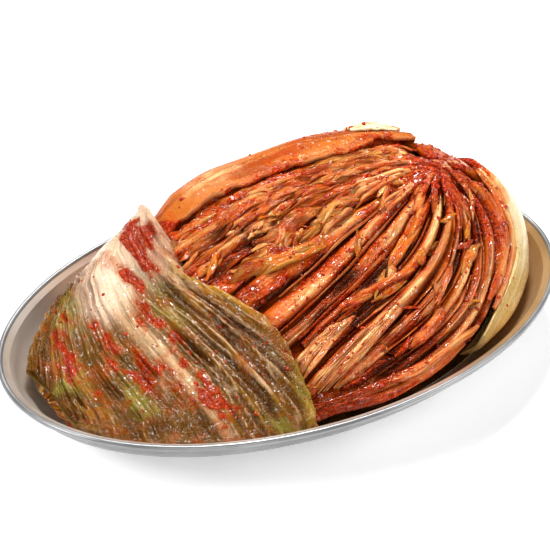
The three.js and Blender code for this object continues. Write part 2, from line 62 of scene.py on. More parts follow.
# The head's reach to each side, and the heights of its widest section and of its foot.
LEFT, RIGHT, BACK, FRONT, WAIST, FOOT = 134, 133, 80, 83.5, 27, 1.8
BACK_POWER = 1.87
FRONT_POWER = {"left": 2.3, "right": 1.85, "between": (-60, 70)}
TUCK = [(FOOT, 0.5), (6, 0.63), (12, 0.78), (20, 0.93), (27, 1)]
RIDGE = {"height": 71.8, "rise": 0.138, "left": (1.5, 0.95), "right": (5, 0.425),
         "shares": (0.72, 0.28), "between": (60, 130)}
BACK_POWERS, FRONT_POWERS = (5.4, 2.2), (2.1, 1.5)
RIB_DEPTH, RIB_CLEAR = 7, 1.2
STEM = {"x": 96, "y": 8, "radius": 5}

# Leaf lines: t, heading at the stem, heading at the landing, landing x and y, outward reach.
FAN = np.array([
    (0.0, 100, 178, -51, 48, 0.25), (0.18, 132, 179, -57, 32, 0.34), (0.34, 160, 181, -56, 12, 0.38),
    (0.456, 184, 183, -48, -12.6, 0.43), (0.522, 191, 182, -38, -32.6, 0.41),
    (0.579, 208, 193, -36, -47, 0.42), (0.63, 225, 200, -35, -56, 0.46),
    (0.681, 242, 207, -36, -63.5, 0.45), (0.737, 257, 200, -34, -73.2, 0.33),
    (0.788, 265, 195, -20, -75, 0.42), (0.836, 273, 188, -12, -76.5, 0.44),
    (0.882, 284, 188, 6, -78.5, 0.45), (0.928, 296, 190, 24, -79, 0.46),
    (0.975, 322, 194, 43, -77, 0.49), (1.0, 340, 198, 52, -74.5, 0.56),
]).T
FAN_ARRIVE = 0.4

# ---- small maths ------------------------------------------------------------


def smooth(a, b, v):
    u = np.clip((np.asarray(v, float) - a) / (b - a), 0, 1)
    return u * u * (3 - 2 * u)


def lerp(a, b, f):
    return a + (b - a) * f


def bell(v, at, reach):
    return np.exp(-((v - at) / reach) ** 2)


def along(points, v):
    """Value at v of a line of pairs."""
    return np.interp(v, *zip(*points))


def steps(count, first=0, last=1):
    return np.linspace(first, last, count)


def unit(v):
    return v / np.maximum(np.linalg.norm(v, axis=-1, keepdims=True), 1e-9)


def root(v, p):
    return np.power(np.maximum(v, 0), p)


def stacked(*values):
    return np.stack(np.broadcast_arrays(*(np.asarray(v, float) for v in values)), -1)


# The fourth channel is painted shade: it darkens the colour in hollows, gaps, fold valleys and under things.
def masks(pale=0, paste=0, green=0, painted_shade=0):
    return stacked(pale, paste, green, painted_shade)


def lattice(i, j, k, seed):
    n = (i * 73856093) ^ (j * 19349663) ^ (k * 83492791) ^ (int(seed) * 2654435 + 97)
    n = (n ^ (n >> 13)) * 1274126177
    n = (n ^ (n >> 16)) * 668265263
    return ((n ^ (n >> 15)) & 0xFFFF) / 32767.5 - 1


def noise(x, y, seed, z=0):
    """Smooth noise between -1 and 1, with one bump per unit."""
    p = np.broadcast_arrays(*(np.asarray(v, float) for v in (x, y, z)))
    cell = [np.floor(v).astype(np.int64) for v in p]
    w = [(v - c) ** 2 * (3 - 2 * (v - c)) for v, c in zip(p, cell)]
    total = 0
    for corner in np.ndindex(2, 2, 2):
        weight = 1
        for step, share in zip(corner, w):
            weight = weight * (share if step else 1 - share)
        total = total + weight * lattice(*(c + step for c, step in zip(cell, corner)), seed)
    return total


def folds(x, y, seed):
    """Noise with sharp crests: 1 on the crests, down to -1."""
    return 1 - 2 * np.abs(noise(x, y, seed))


def fbm(x, y, seed, octaves=3, z=0):
    total = sum(noise(x * 2 ** o, y * 2 ** o, seed + o, z * 2 ** o) / 2 ** o for o in range(octaves))
    return total / (2 - 2 ** (1 - octaves))


# ---- the head's surface -----------------------------------------------------

# Steps along X and around the section that give a normal, and the margin kept at the ends.
STEP_ALONG, STEP_AROUND, END_MARGIN = 0.4, 2, 0.5
# The search for a point of the surface from inside: its reach and how often it is halved.
SEARCH_REACH, HALVINGS = 160.0, 40


def endward(x):
    return np.abs(x) / np.where(np.asarray(x) < 0, LEFT, RIGHT)


def back_y(x):
    return BACK * root(1 - endward(x) ** BACK_POWER, 1 / BACK_POWER)


def front_y(x):
    n = lerp(FRONT_POWER["left"], FRONT_POWER["right"], smooth(*FRONT_POWER["between"], x))
    return -FRONT * root(1 - endward(x) ** n, 1 / n)


def ridge_y(x):
    return lerp(*RIDGE["shares"], smooth(*RIDGE["between"], x)) * back_y(x)


def ridge_z(x):
    far = endward(x)
    left, right = (root(1 - far ** p, q) for p, q in (RIDGE["left"], RIDGE["right"]))
    return WAIST + (RIDGE["height"] + RIDGE["rise"] * x - WAIST) * np.where(x < 0, left, right)


def half_section(x, back):
    """The section's two powers and its edge, on the back or the front side."""
    powers = (np.where(back, b, f) for b, f in zip(BACK_POWERS, FRONT_POWERS))
    return *powers, np.where(back, back_y(x), front_y(x))


def from_ridge(x, y):
    """Share of the way from the ridge to the edge at [x, y], and whether it is on the back."""
    ridge = ridge_y(x)
    back = y > ridge
    side = half_section(x, back)[2] - ridge
    return np.clip(np.abs((y - ridge) / np.where(np.abs(side) < 1e-6, 1, side)), 0, 1), back


def head_z(x, y):
    v, back = from_ridge(x, y)
    p, q, _ = half_section(x, back)
    return WAIST + (ridge_z(x) - WAIST) * root(1 - v ** p, 1 / q)


def skin(x, angle):
    """Point of the section at x, from -90 at the back's foot over 90 at the ridge to 270."""
    x, angle = np.broadcast_arrays(np.asarray(x, float), np.asarray(angle, float))
    low = (angle < 0) | (angle > 180)
    z_low = lerp(WAIST, FOOT, np.where(angle < 0, -angle, angle - 180) / 90)
    k = along(TUCK, z_low)
    a = np.radians(angle)
    p, q, side = half_section(x, angle < 90)
    y = ridge_y(x) + (side - ridge_y(x)) * np.abs(np.cos(a)) ** (2 / p)
    z = WAIST + (ridge_z(x) - WAIST) * np.abs(np.sin(a)) ** (2 / q)
    return stacked(np.where(low, k * x, x), np.where(low, k * side, y), np.where(low, z_low, z))


def angle_at(x, z, back):
    """Angle over the head at height z, on the back or the front."""
    x, z = np.broadcast_arrays(np.asarray(x, float), np.asarray(z, float))
    drop = 90 * (WAIST - z) / (WAIST - FOOT)
    k = np.clip((z - WAIST) / np.maximum(ridge_z(x) - WAIST, 0.1), 0, 1)
    a = np.degrees(np.arcsin(k ** ((BACK_POWERS if back else FRONT_POWERS)[1] / 2)))
    a = np.where(z <= WAIST, -drop, a)
    return a if back else 180 - a


def angle_over(x, y):
    """Angle over the head at the plan position [x, y]."""
    v, back = from_ridge(x, y)
    a = np.degrees(np.arccos(v ** (half_section(x, back)[0] / 2)))
    return np.where(back, a, 180 - a)


def outward(p, ahead, aside):
    """Normal at p of the surface through two points near it, away from the head's middle."""
    n = unit(np.cross(ahead - p, aside - p))
    return np.where((n * (p - [0, 0, WAIST])).sum(-1, keepdims=True) < 0, -n, n)


def skin_off(x, angle, off):
    """Point of the skin moved out along its normal."""
    x, angle, off = np.broadcast_arrays(*(np.asarray(v, float) for v in (x, angle, off)))
    xs = np.clip(x, END_MARGIN - LEFT, RIGHT - END_MARGIN)
    n = outward(skin(xs, angle), skin(xs + np.where(xs > 0, -STEP_ALONG, STEP_ALONG), angle),
                skin(xs, angle + np.where(angle > 90, -STEP_AROUND, STEP_AROUND)))
    return skin(x, angle) + n * off[..., None]


def dome_frame(x, y):
    """Point of the dome over [x, y], and the dome's normal there."""
    z = head_z(x, y)
    return stacked(x, y, z), unit(stacked(head_z(x - 1, y) - head_z(x + 1, y),
                                          head_z(x, y - 1) - head_z(x, y + 1), np.full_like(z, 2)))


def fan(s, t):
    """Plan position of fraction s along leaf line t."""
    s, t = np.broadcast_arrays(np.asarray(s, float), np.asarray(t, float))
    leave, land, ex, ey, out = (np.interp(t, FAN[0], row) for row in FAN[1:])
    leave, land = np.radians(leave), np.radians(land)
    sx, sy = (STEM[k] + STEM["radius"] * turn for k, turn in (("x", np.cos(leave)), ("y", np.sin(leave))))
    reach = np.hypot(ex - sx, ey - sy)
    ax, ay = sx + out * reach * np.cos(leave), sy + out * reach * np.sin(leave)
    bx, by = ex - FAN_ARRIVE * reach * np.cos(land), ey - FAN_ARRIVE * reach * np.sin(land)
    w = [(1 - s) ** 3, 3 * (1 - s) ** 2 * s, 3 * (1 - s) * s * s, s ** 3]
    return tuple(sum(a * b for a, b in zip(w, line)) for line in ((sx, ax, bx, ex), (sy, ay, by, ey)))


def fan_off(s, t, off):
    p, n = dome_frame(*fan(s, t))
    return p + n * np.asarray(off, float)[..., None]


def surface_at(turn, z, centre):
    """Point of the head's surface at height z, in a direction about a centre."""
    turn, z = np.broadcast_arrays(turn, z)
    level = np.where(z <= WAIST, WAIST + 0.01, z)
    low, high = np.zeros_like(level), np.full_like(level, SEARCH_REACH)
    for _ in range(HALVINGS):
        r = (low + high) / 2
        x, y = centre[0] + r * np.cos(turn), centre[1] + r * np.sin(turn)
        above = (endward(x) >= 1) | (y >= back_y(x)) | (y <= front_y(x)) | (head_z(x, y) < level)
        high, low = np.where(above, r, high), np.where(above, low, r)
    k = np.where(z <= WAIST, along(TUCK, z), 1)
    return stacked(k * (centre[0] + low * np.cos(turn)), k * (centre[1] + low * np.sin(turn)), z)


# ---- meshes -------------------------------------------------------------------


def quads(a, b, c, d):
    return np.concatenate([np.stack([a, b, c], -1).reshape(-1, 3), np.stack([a, c, d], -1).reshape(-1, 3)])


class Piece:
    """Collects closed patches into one mesh with its mask, flow and tone."""

    def __init__(self, name):
        self.name, self.count = name, 0
        self.points, self.faces, self.mask, self.flow, self.tone = [], [], [], [], []

    def add(self, points, faces, mask, flow, tone=0.0):
        p = points[faces]
        if np.einsum("ij,ij->i", p[:, 0], np.cross(p[:, 1], p[:, 2])).sum() < 0:
            faces = faces[:, ::-1]
        self.points.append(points)
        self.faces.append(faces + self.count)
        for kept, values, size in ((self.mask, mask, 4), (self.flow, flow, 3), (self.tone, tone, 4)):
            kept.append(np.broadcast_to(values, (len(points), size)))
        self.count += len(points)

    def tube(self, rings, mask, flow, tone=0.0):
        """A solid through rings of points [row, column, xyz], closed at both ends."""
        rows, cols = rings.shape[:2]
        i, j = np.arange(rows - 1)[:, None] * cols, np.arange(cols)
        k = (j + 1) % cols
        first, last = np.full(cols, rows * cols), np.full(cols, rows * cols + 1)
        faces = np.concatenate([quads(i + j, i + cols + j, i + cols + k, i + k), np.stack([first, j, k], -1),
                                np.stack([last, (rows - 1) * cols + k, (rows - 1) * cols + j], -1)])
        values = []
        for value, size in ((mask, 4), (flow, 3), (tone, 4)):
            value = np.broadcast_to(value, (rows, cols, size))
            values.append(np.concatenate([value.reshape(-1, size), value[[0, -1], 0]]))
        self.add(np.concatenate([rings.reshape(-1, 3), [rings[0].mean(0), rings[-1].mean(0)]]), faces, *values)

    def leaf(self, outer, inner, mask, flow, tone=0.0):
        """A thin sheet between two grids of points, with the same looks on both faces."""
        def both(values, size):
            values = np.broadcast_to(values, outer.shape[:2] + (size,))
            return np.concatenate([values, values[:, ::-1]], 1)
        self.tube(np.concatenate([outer, inner[:, ::-1]], 1), both(mask, 4), both(flow, 3), both(tone, 4))

    def make(self, material, slot, nodes=()):
        points, faces = np.concatenate(self.points) * MM, np.concatenate(self.faces)
        mesh = bpy.data.meshes.new(self.name)
        mesh.vertices.add(len(points))
        mesh.vertices.foreach_set("co", points.ravel().astype(np.float32))
        mesh.loops.add(faces.size)
        mesh.loops.foreach_set("vertex_index", faces.ravel().astype(np.int32))
        mesh.polygons.add(len(faces))
        mesh.polygons.foreach_set("loop_start", np.arange(0, faces.size, 3, dtype=np.int32))
        mesh.update(calc_edges=True)
        mesh.polygons.foreach_set("use_smooth", np.full(len(faces), True))
        for key, values in (("mask", self.mask), ("tone", self.tone)):
            colour = mesh.color_attributes.new(key, "FLOAT_COLOR", "POINT")
            colour.data.foreach_set("color", np.clip(np.concatenate(values), 0, 1).ravel().astype(np.float32))
        vector = mesh.attributes.new("flow", "FLOAT_VECTOR", "POINT")
        vector.data.foreach_set("vector", np.concatenate(self.flow).ravel().astype(np.float32))
        mesh.materials.append(material)
        thing = bpy.data.objects.new(self.name, mesh)
        bpy.context.scene.collection.objects.link(thing)
        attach(thing, "root")
        if nodes:
            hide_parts(*nodes)
        return thing


# ---- materials ------------------------------------------------------------------


def linear(r, g, b):
    """Scene colour of an sRGB colour given from 0 to 255."""
    c = [v / 255 for v in (r, g, b)]
    return [v / 12.92 if v <= 0.04045 else ((v + 0.055) / 1.055) ** 2.4 for v in c] + [1]


class Look:
    """A node material, with short calls for the nodes it is built of."""

    def __init__(self, name, **constants):
        self.material = bpy.data.materials.new(name)
        self.material.use_nodes = True
        self.tree = self.material.node_tree
        self.shader = self.tree.nodes["Principled BSDF"]
        for socket, value in constants.items():
            self.shader.inputs[socket.replace("_", " ")].default_value = value

    def feed(self, socket, value):
        if isinstance(value, bpy.types.NodeSocket):
            self.tree.links.new(value, socket)
        else:
            socket.default_value = value

    def node(self, kind, inputs, **settings):
        node = self.tree.nodes.new("ShaderNode" + kind)
        for key, value in settings.items():
            setattr(node, key, value)
        for socket, value in inputs.items():
            self.feed(node.inputs[socket], value)
        return node.outputs

    def set(self, socket, value):
        self.feed(self.shader.inputs[socket], value)

    def attribute(self, name, output="Vector"):
        return self.node("Attribute", {}, attribute_name=name)[output]

    def place(self):
        return self.node("TexCoord", {})["Object"]

    def split(self, vector):
        return self.node("SeparateXYZ", {0: vector})

    def scaled(self, vector, scale):
        return self.node("VectorMath", {0: vector, 1: scale}, operation="MULTIPLY")[0]

    def grain(self, vector, scale, detail=3.0, warp=0.0):
        return self.node("TexNoise", {"Vector": vector, "Scale": scale, "Detail": detail, "Distortion": warp,
                                      "Roughness": 0.55})[0]

    def ramp(self, value, low, high, to_low=0.0, to_high=1.0):
        return self.node("MapRange", dict(enumerate((value, low, high, to_low, to_high))),
                         interpolation_type="SMOOTHSTEP")[0]

    def math(self, operation, a, b):
        return self.node("Math", {0: a, 1: b}, operation=operation)[0]

    def blend(self, a, much_a, b, much_b):
        return self.math("ADD", self.math("MULTIPLY", a, much_a), self.math("MULTIPLY", b, much_b))

    def mix(self, factor, a, b):
        return self.node("Mix", {0: factor, 6: a, 7: b}, data_type="RGBA")[2]

    def bump(self, height, depth, strength=1.0, normal=None):
        inputs = {"Distance": depth, "Strength": strength, "Height": height}
        return self.node("Bump", inputs if normal is None else {**inputs, "Normal": normal})[0]


# The last of these is the near black that painted shade takes the leaves towards.
PASTE_RED, PASTE_DEEP, PAINTED_SHADE_COLOUR = linear(204, 62, 8), linear(136, 22, 2), linear(46, 8, 2)
WARM_GLOSS = (1, 0.5, 0.15, 1)


def leaf_look(name, deep, body, pale, green=(128, 118, 42), brown=(112, 74, 30), yellow=(228, 158, 52),
              base=(232, 206, 178), stain=(206, 66, 12), stained=0.6, scatter=0.08, wet=0.9, smear=PASTE_RED):
    """Wet leaf: streaks along it, a pale crest, yellow, green and brown patches, red paste, and painted shade.
    """
    look = Look(name, Specular_IOR_Level=0.3, Specular_Tint=WARM_GLOSS, Subsurface_Weight=scatter,
                Subsurface_Scale=0.003, Subsurface_Radius=(1.0, 0.4, 0.1), Coat_Roughness=0.05, Coat_IOR=1.5)
    flow, place = look.attribute("flow"), look.place()
    pale_mask, paste_mask, green_mask = look.split(look.attribute("mask", "Color"))
    painted_shade_mask = look.attribute("mask", "Alpha")
    yellow_mask, base_mask, patch_mask = look.split(look.attribute("tone", "Color"))
    streak = look.grain(look.scaled(flow, (0.022, 0.27, 1)), 1.0, 3, 0.4)
    fine = look.grain(look.scaled(flow, (0.08, 2.2, 1)), 1.0)
    patch, spots = look.grain(place, 85, 4, 0.6), look.grain(place, 560, 2)
    both = look.blend(streak, 1.5, fine, 0.5)
    greener = look.ramp(look.math("ADD", patch_mask, fine), 0.55, 1.0)
    leaf_tone = look.mix(greener, linear(*brown), linear(*green))
    colour = look.mix(look.ramp(streak, 0.4, 0.58), linear(*deep), linear(*body))
    for mask, value, low, high, least, tone in ((yellow_mask, both, 0.7, 1.1, 0.45, linear(*yellow)),
                                                (pale_mask, both, 0.75, 1.15, 0.25, linear(*pale)),
                                                (green_mask, patch, 0.3, 0.55, 0.4, leaf_tone),
                                                (base_mask, both, 0.7, 1.1, 0.5, linear(*base))):
        colour = look.mix(look.math("MULTIPLY", mask, look.ramp(value, low, high, least, 1)), colour, tone)
    stains = look.blend(paste_mask, 0.9, patch, 0.8)
    colour = look.mix(look.ramp(stains, 0.5, 0.85, 0, stained), colour, linear(*stain))
    # paste lies where the lumps rise over what its mask leaves free
    lumps = look.blend(spots, 0.6, patch, 0.75)
    coat = look.ramp(look.math("SUBTRACT", lumps, look.math("SUBTRACT", 1.16, paste_mask)), 0.0, 0.1)
    colour = look.mix(coat, colour, look.mix(look.ramp(spots, 0.42, 0.66), PASTE_DEEP, smear))
    # painted shade: the mask's fourth channel takes the colour towards near black in hollows, gaps and under
    # things
    look.set("Base Color", look.mix(look.math("MULTIPLY", painted_shade_mask, 0.9), colour, PAINTED_SHADE_COLOUR))
    look.set("Roughness", look.ramp(look.math("ADD", fine, spots), 0.7, 1.3, 0.11, 0.34))
    normal = look.bump(look.blend(fine, 0.3, streak, 0.9), 0.0007, 0.7)
    wrinkle = look.grain(look.scaled(flow, (0.5, 0.3, 1)), 1.0, 3, 0.8)
    normal = look.bump(wrinkle, 0.0012, 0.6, normal)
    look.set("Normal", look.bump(look.math("MULTIPLY", coat, spots), 0.001, 0.9, normal))
    # the wet film stands in drops, and leaves the crevices with painted shade dull
    drops = look.grain(look.scaled(flow, (0.2, 0.42, 1)), 1.0, 1, 0.4)
    film = look.blend(drops, 0.6, look.grain(place, 380, 0), 0.4)
    lit = look.math("SUBTRACT", 1.0, look.math("MULTIPLY", painted_shade_mask, 0.8))
    look.set("Coat Weight", look.math("MULTIPLY", look.ramp(film, 0.47, 0.53, 0, wet), lit))
    look.set("Coat Normal", look.bump(film, 0.0028, 1.0))
    return look.material


LOOKS = {
    "rib": leaf_look("wet_rib", (148, 35, 1), (210, 90, 4), (249, 203, 132), yellow=(216, 128, 18)),
    "inner": leaf_look("wet_inner_leaf", (136, 30, 1), (186, 78, 5), (242, 192, 112), (132, 96, 20),
                       (100, 52, 5), (196, 120, 16)),
    "green": leaf_look("wet_green_leaf", (52, 26, 1), (110, 64, 6), (226, 186, 140), (122, 112, 38),
                       (80, 48, 6), (214, 152, 40), (240, 206, 178), (158, 70, 6), scatter=0.06, wet=0.65,
                       smear=linear(180, 50, 2)),
    "orange": leaf_look("wet_orange_leaf", (160, 60, 1), (190, 92, 1), (244, 204, 140), stained=0.3, wet=0.22),
    "pale": leaf_look("wet_pale_leaf", (212, 186, 124), (232, 208, 156), (246, 232, 198), (186, 174, 108),
                      (204, 168, 94), (234, 184, 90), stain=(214, 112, 32), stained=0.85, wet=0.35),
    "heart": leaf_look("seasoned_heart", (120, 32, 1), (184, 70, 4), (220, 140, 60), (130, 90, 20)),
}


def paste_look():
    look = Look("pepper_paste", Specular_IOR_Level=0.4, Specular_Tint=WARM_GLOSS, Roughness=0.3,
                Coat_Weight=0.6, Coat_Roughness=0.05, Coat_IOR=1.5)
    place = look.place()
    spots, tone = look.grain(place, 1100), look.grain(look.attribute("flow"), 1.0, 2)
    colour = look.mix(look.ramp(spots, 0.38, 0.64), linear(132, 16, 2), linear(200, 40, 4))
    look.set("Base Color", look.mix(look.ramp(tone, 0.52, 0.75), colour, linear(214, 76, 10)))
    look.set("Normal", look.bump(spots, 0.0006, 0.8))
    look.set("Coat Normal", look.bump(look.grain(place, 500, 0), 0.0015, 0.8))
    return look.material


def steel_look():
    """Brushed steel: a darker grey outside as painted shade; the inside pale and warm as painted light,
    turning brown towards the stem end as a painted reflection and shadow of the food.
    """
    look = Look("brushed_steel", Metallic=0.65, Specular_IOR_Level=0.5)
    flow, place = look.attribute("flow"), look.place()
    lines = look.grain(look.scaled(flow, (0.02, 4.0, 1)), 1.0, 4)
    cloud = look.grain(place, 24)
    inside = look.split(look.attribute("mask", "Color"))[0]
    # one steel in two tones: darker grey outside as painted shade, pale and warm inside as painted light
    shaded_outside, lit_inside, brown = (look.mix(look.ramp(cloud, 0.3, 0.7), linear(*low), linear(*high)) for low, high in (
        ((128, 128, 129), (160, 160, 160)), ((236, 222, 206), (248, 238, 226)),
        ((196, 160, 112), (220, 186, 140))))
    # towards the stem end the inside turns brown: painted reflection and shadow of the food
    lit_inside = look.mix(look.ramp(look.split(place)[0], -0.03, 0.09), lit_inside, brown)
    look.set("Base Color", look.mix(inside, shaded_outside, lit_inside))
    look.set("Roughness", look.ramp(look.math("ADD", lines, cloud), 0.7, 1.3, 0.28, 0.42))
    look.set("Normal", look.bump(lines, 0.0001, 0.35))
    return look.material


def juice_look():
    look = Look("pickling_juice", Specular_IOR_Level=0.5, Roughness=0.06, Coat_Weight=0.3)
    place = look.place()
    look.set("Base Color", look.mix(look.ramp(look.grain(place, 60), 0.35, 0.65), linear(40, 28, 8),
                                    linear(74, 52, 16)))
    look.set("Normal", look.bump(look.grain(place, 120, 2), 0.0008, 0.5))
    return look.material


# ---- dish and juice ----------------------------------------------------------------


def oval(inset, z, turn):
    return stacked((DISH["half_length"] - inset) * np.cos(turn), (DISH["half_width"] - inset) * np.sin(turn), z)


def rounded(line):
    """An open line of points with its corners cut twice."""
    line = np.array(line, float)
    for _ in range(2):
        a, b = line[:-1], line[1:]
        cut = np.stack([a * 0.75 + b * 0.25, a * 0.25 + b * 0.75], 1).reshape(-1, 2)
        line = np.concatenate([line[:1], cut, line[-1:]])
    return line


def dish():
    top = DISH["height"]
    bead = [(BEAD_RADIUS * (1 - math.cos(a)), BEAD_RADIUS * (1 - math.sin(a)))
            for a in np.radians(steps(9, -50, 190))]
    outside = rounded([(DISH["floor_inset"], top)] + WALL_OUTSIDE[::-1] + FLANGE)
    inside = rounded(WALL_INSIDE[::-1] + [(DISH["floor_inset"], FLOOR_DEPTH)])
    turn = steps(241, 0, 2 * PI)[:-1]
    columns = [oval(i, top - d, turn) for i, d in np.concatenate([outside, bead, inside])]
    floor_shares = [0, 0.5, 0.85]
    under, over = ([column * np.array([r, r, 1]) for r in floor_shares] for column in (columns[0], columns[-1]))
    rings = np.stack(under + columns + over[::-1])
    run = np.concatenate([[-30, -20, -10], np.arange(len(columns)) * 1.2, [60, 70, 80]])
    inner = np.arange(len(rings)) > len(floor_shares) + len(outside) + len(bead) - 2
    piece = Piece("steel_dish")
    # the first mask channel marks the inside, where the steel's look paints light on it
    piece.tube(rings, masks(inner[:, None] + 0 * turn), stacked(turn[None] * 120, run[:, None], 1))
    return piece.make(steel_look(), "steel", ["dish"])


def outline(turn, z, out):
    """The head's outline at height z, a little further out."""
    x = np.where(np.cos(turn) < 0, LEFT, RIGHT) * np.cos(turn)
    k = along(TUCK, z)
    y = np.where(np.sin(turn) > 0, back_y(x), front_y(x))
    grow = 1 + out / np.maximum(np.hypot(k * x, k * y), 1)
    return stacked(k * x * grow, k * y * grow, z)


def juice():
    wall = sorted((DISH["height"] - d, i) for i, d in WALL_INSIDE + [(DISH["floor_inset"], FLOOR_DEPTH)])
    turn = steps(181, 0, 2 * PI)[:-1]
    sides = [oval(along(wall, z) + 0.7, z, turn) for z in (JUICE_FOOT, 6, 10, JUICE_LEVEL - 0.4)]
    rim = oval(along(wall, JUICE_LEVEL) + 0.4, JUICE_LEVEL + JUICE_RIM, turn)
    inner = [outline(turn, z, 0.8) for z in (JUICE_LEVEL, 6, JUICE_FOOT)]
    span = [rim * (1 - f) + inner[0] * f + np.array([0, 0, -0.4 * math.sin(PI * f)])
            for f in (0.12, 0.35, 0.65, 0.9)]
    rings = np.stack(sides + [rim] + span + inner, 1)
    rows, cols = rings.shape[:2]
    i, j = np.arange(rows)[:, None], np.arange(cols)[None]
    below, beside = (i + 1) % rows * cols, (j + 1) % cols
    piece = Piece("pool_of_juice")
    piece.add(rings.reshape(-1, 3), quads(i * cols + j, below + j, below + beside, i * cols + beside),
              masks(), stacked(0, 0, 0))
    return piece.make(juice_look(), "juice", ["juice"])


# ---- heart ---------------------------------------------------------------------------

# The back leaf and the pale tip above it: the height of their layer and their upper edge, by x.
BACK_LEAF = {"left": -48, "right": 98, "low": 15, "thickness": 2.4, "layer": [(-36, -2.8), (-24, 0.8)],
             "top": [(-48, 51), (-10, 50), (6, 48), (45, 45), (66, 42), (80, 38), (98, 32)], "stand": 0}
TIP_LEAF = {"left": 71, "right": 95, "low": 50, "thickness": 1.8, "layer": [(71, 3.2), (95, 3.2)],
            "top": [(71, 56), (82, 50), (95, 43)], "stand": 1.2}
# Layers over the heart, from the CAD: the crown and the far leaf.
CROWN_COVER, FAR_COVER = 4.2, 3
# Where the heart's depth goes over from one layer to the next, by x.
CROWN_FROM, BACK_LEAF_TO, FAR_LEAF_TO, RIBS_FROM = (118, 122), (92, 97), (-92, -86), (-72, -60)
HEART_MARGIN = 3


def heart_depth(x, angle):
    p = skin(x, angle)
    under_back = RIB_CLEAR - along(BACK_LEAF["layer"], x)
    under_crown, under_left, under_ribs = (v + RIB_CLEAR for v in (CROWN_COVER, FAR_COVER, RIB_DEPTH))
    crown_share = smooth(*CROWN_FROM, x - 0.9 * np.maximum(0, -p[..., 1]))
    is_open = angle > angle_over(x, along(BACK_LEAF["top"], x) + 4)
    top_side = np.where(is_open, lerp(under_ribs, under_crown, crown_share),
                        lerp(under_back, under_crown, smooth(*BACK_LEAF_TO, x)))
    leaf_end = lerp(0.4, under_left, 1 - smooth(*FAR_LEAF_TO, x))
    depth = lerp(leaf_end, top_side, smooth(*RIBS_FROM, x))
    front_foot = np.where(x < -70, 1 - smooth(222, 250, angle), 1 - smooth(190, 235, angle))
    return depth * np.where(angle > 180, front_foot, smooth(-80, -52, angle))


def heart():
    angle = np.concatenate([steps(8, -90, -15), steps(120, 0, 180), steps(8, 195, 270)])
    a = (1 + np.cos(steps(190, PI, 0))[:, None]) / 2
    x, a = np.broadcast_arrays(lerp(HEART_MARGIN - LEFT, RIGHT - HEART_MARGIN, a), angle)
    bx, by, bz = np.moveaxis(skin(x, a), -1, 0)
    lumps = fbm(bx * 0.16, by * 0.16, 5, 3, bz * 0.16)
    grains = noise(bx * 0.7, by * 0.7, 9, bz * 0.7)
    depth = heart_depth(x, a)
    rings = skin_off(x, a, -depth + smooth(4, 8, depth) * (1.6 * lumps + 0.5 * grains))
    # paler on the lumps as painted highlight, darker between them as painted shade; more paste on the lumps
    mask = masks(0.4 * smooth(0.1, 0.5, lumps), 0.45 + 0.4 * lumps, 0.15, 0.2 - 0.3 * lumps)
    piece = Piece("packed_heart")
    piece.tube(rings, mask, stacked(-bx, by, 3))
    return piece.make(LOOKS["heart"], "seasoned_heart", ["heart"])
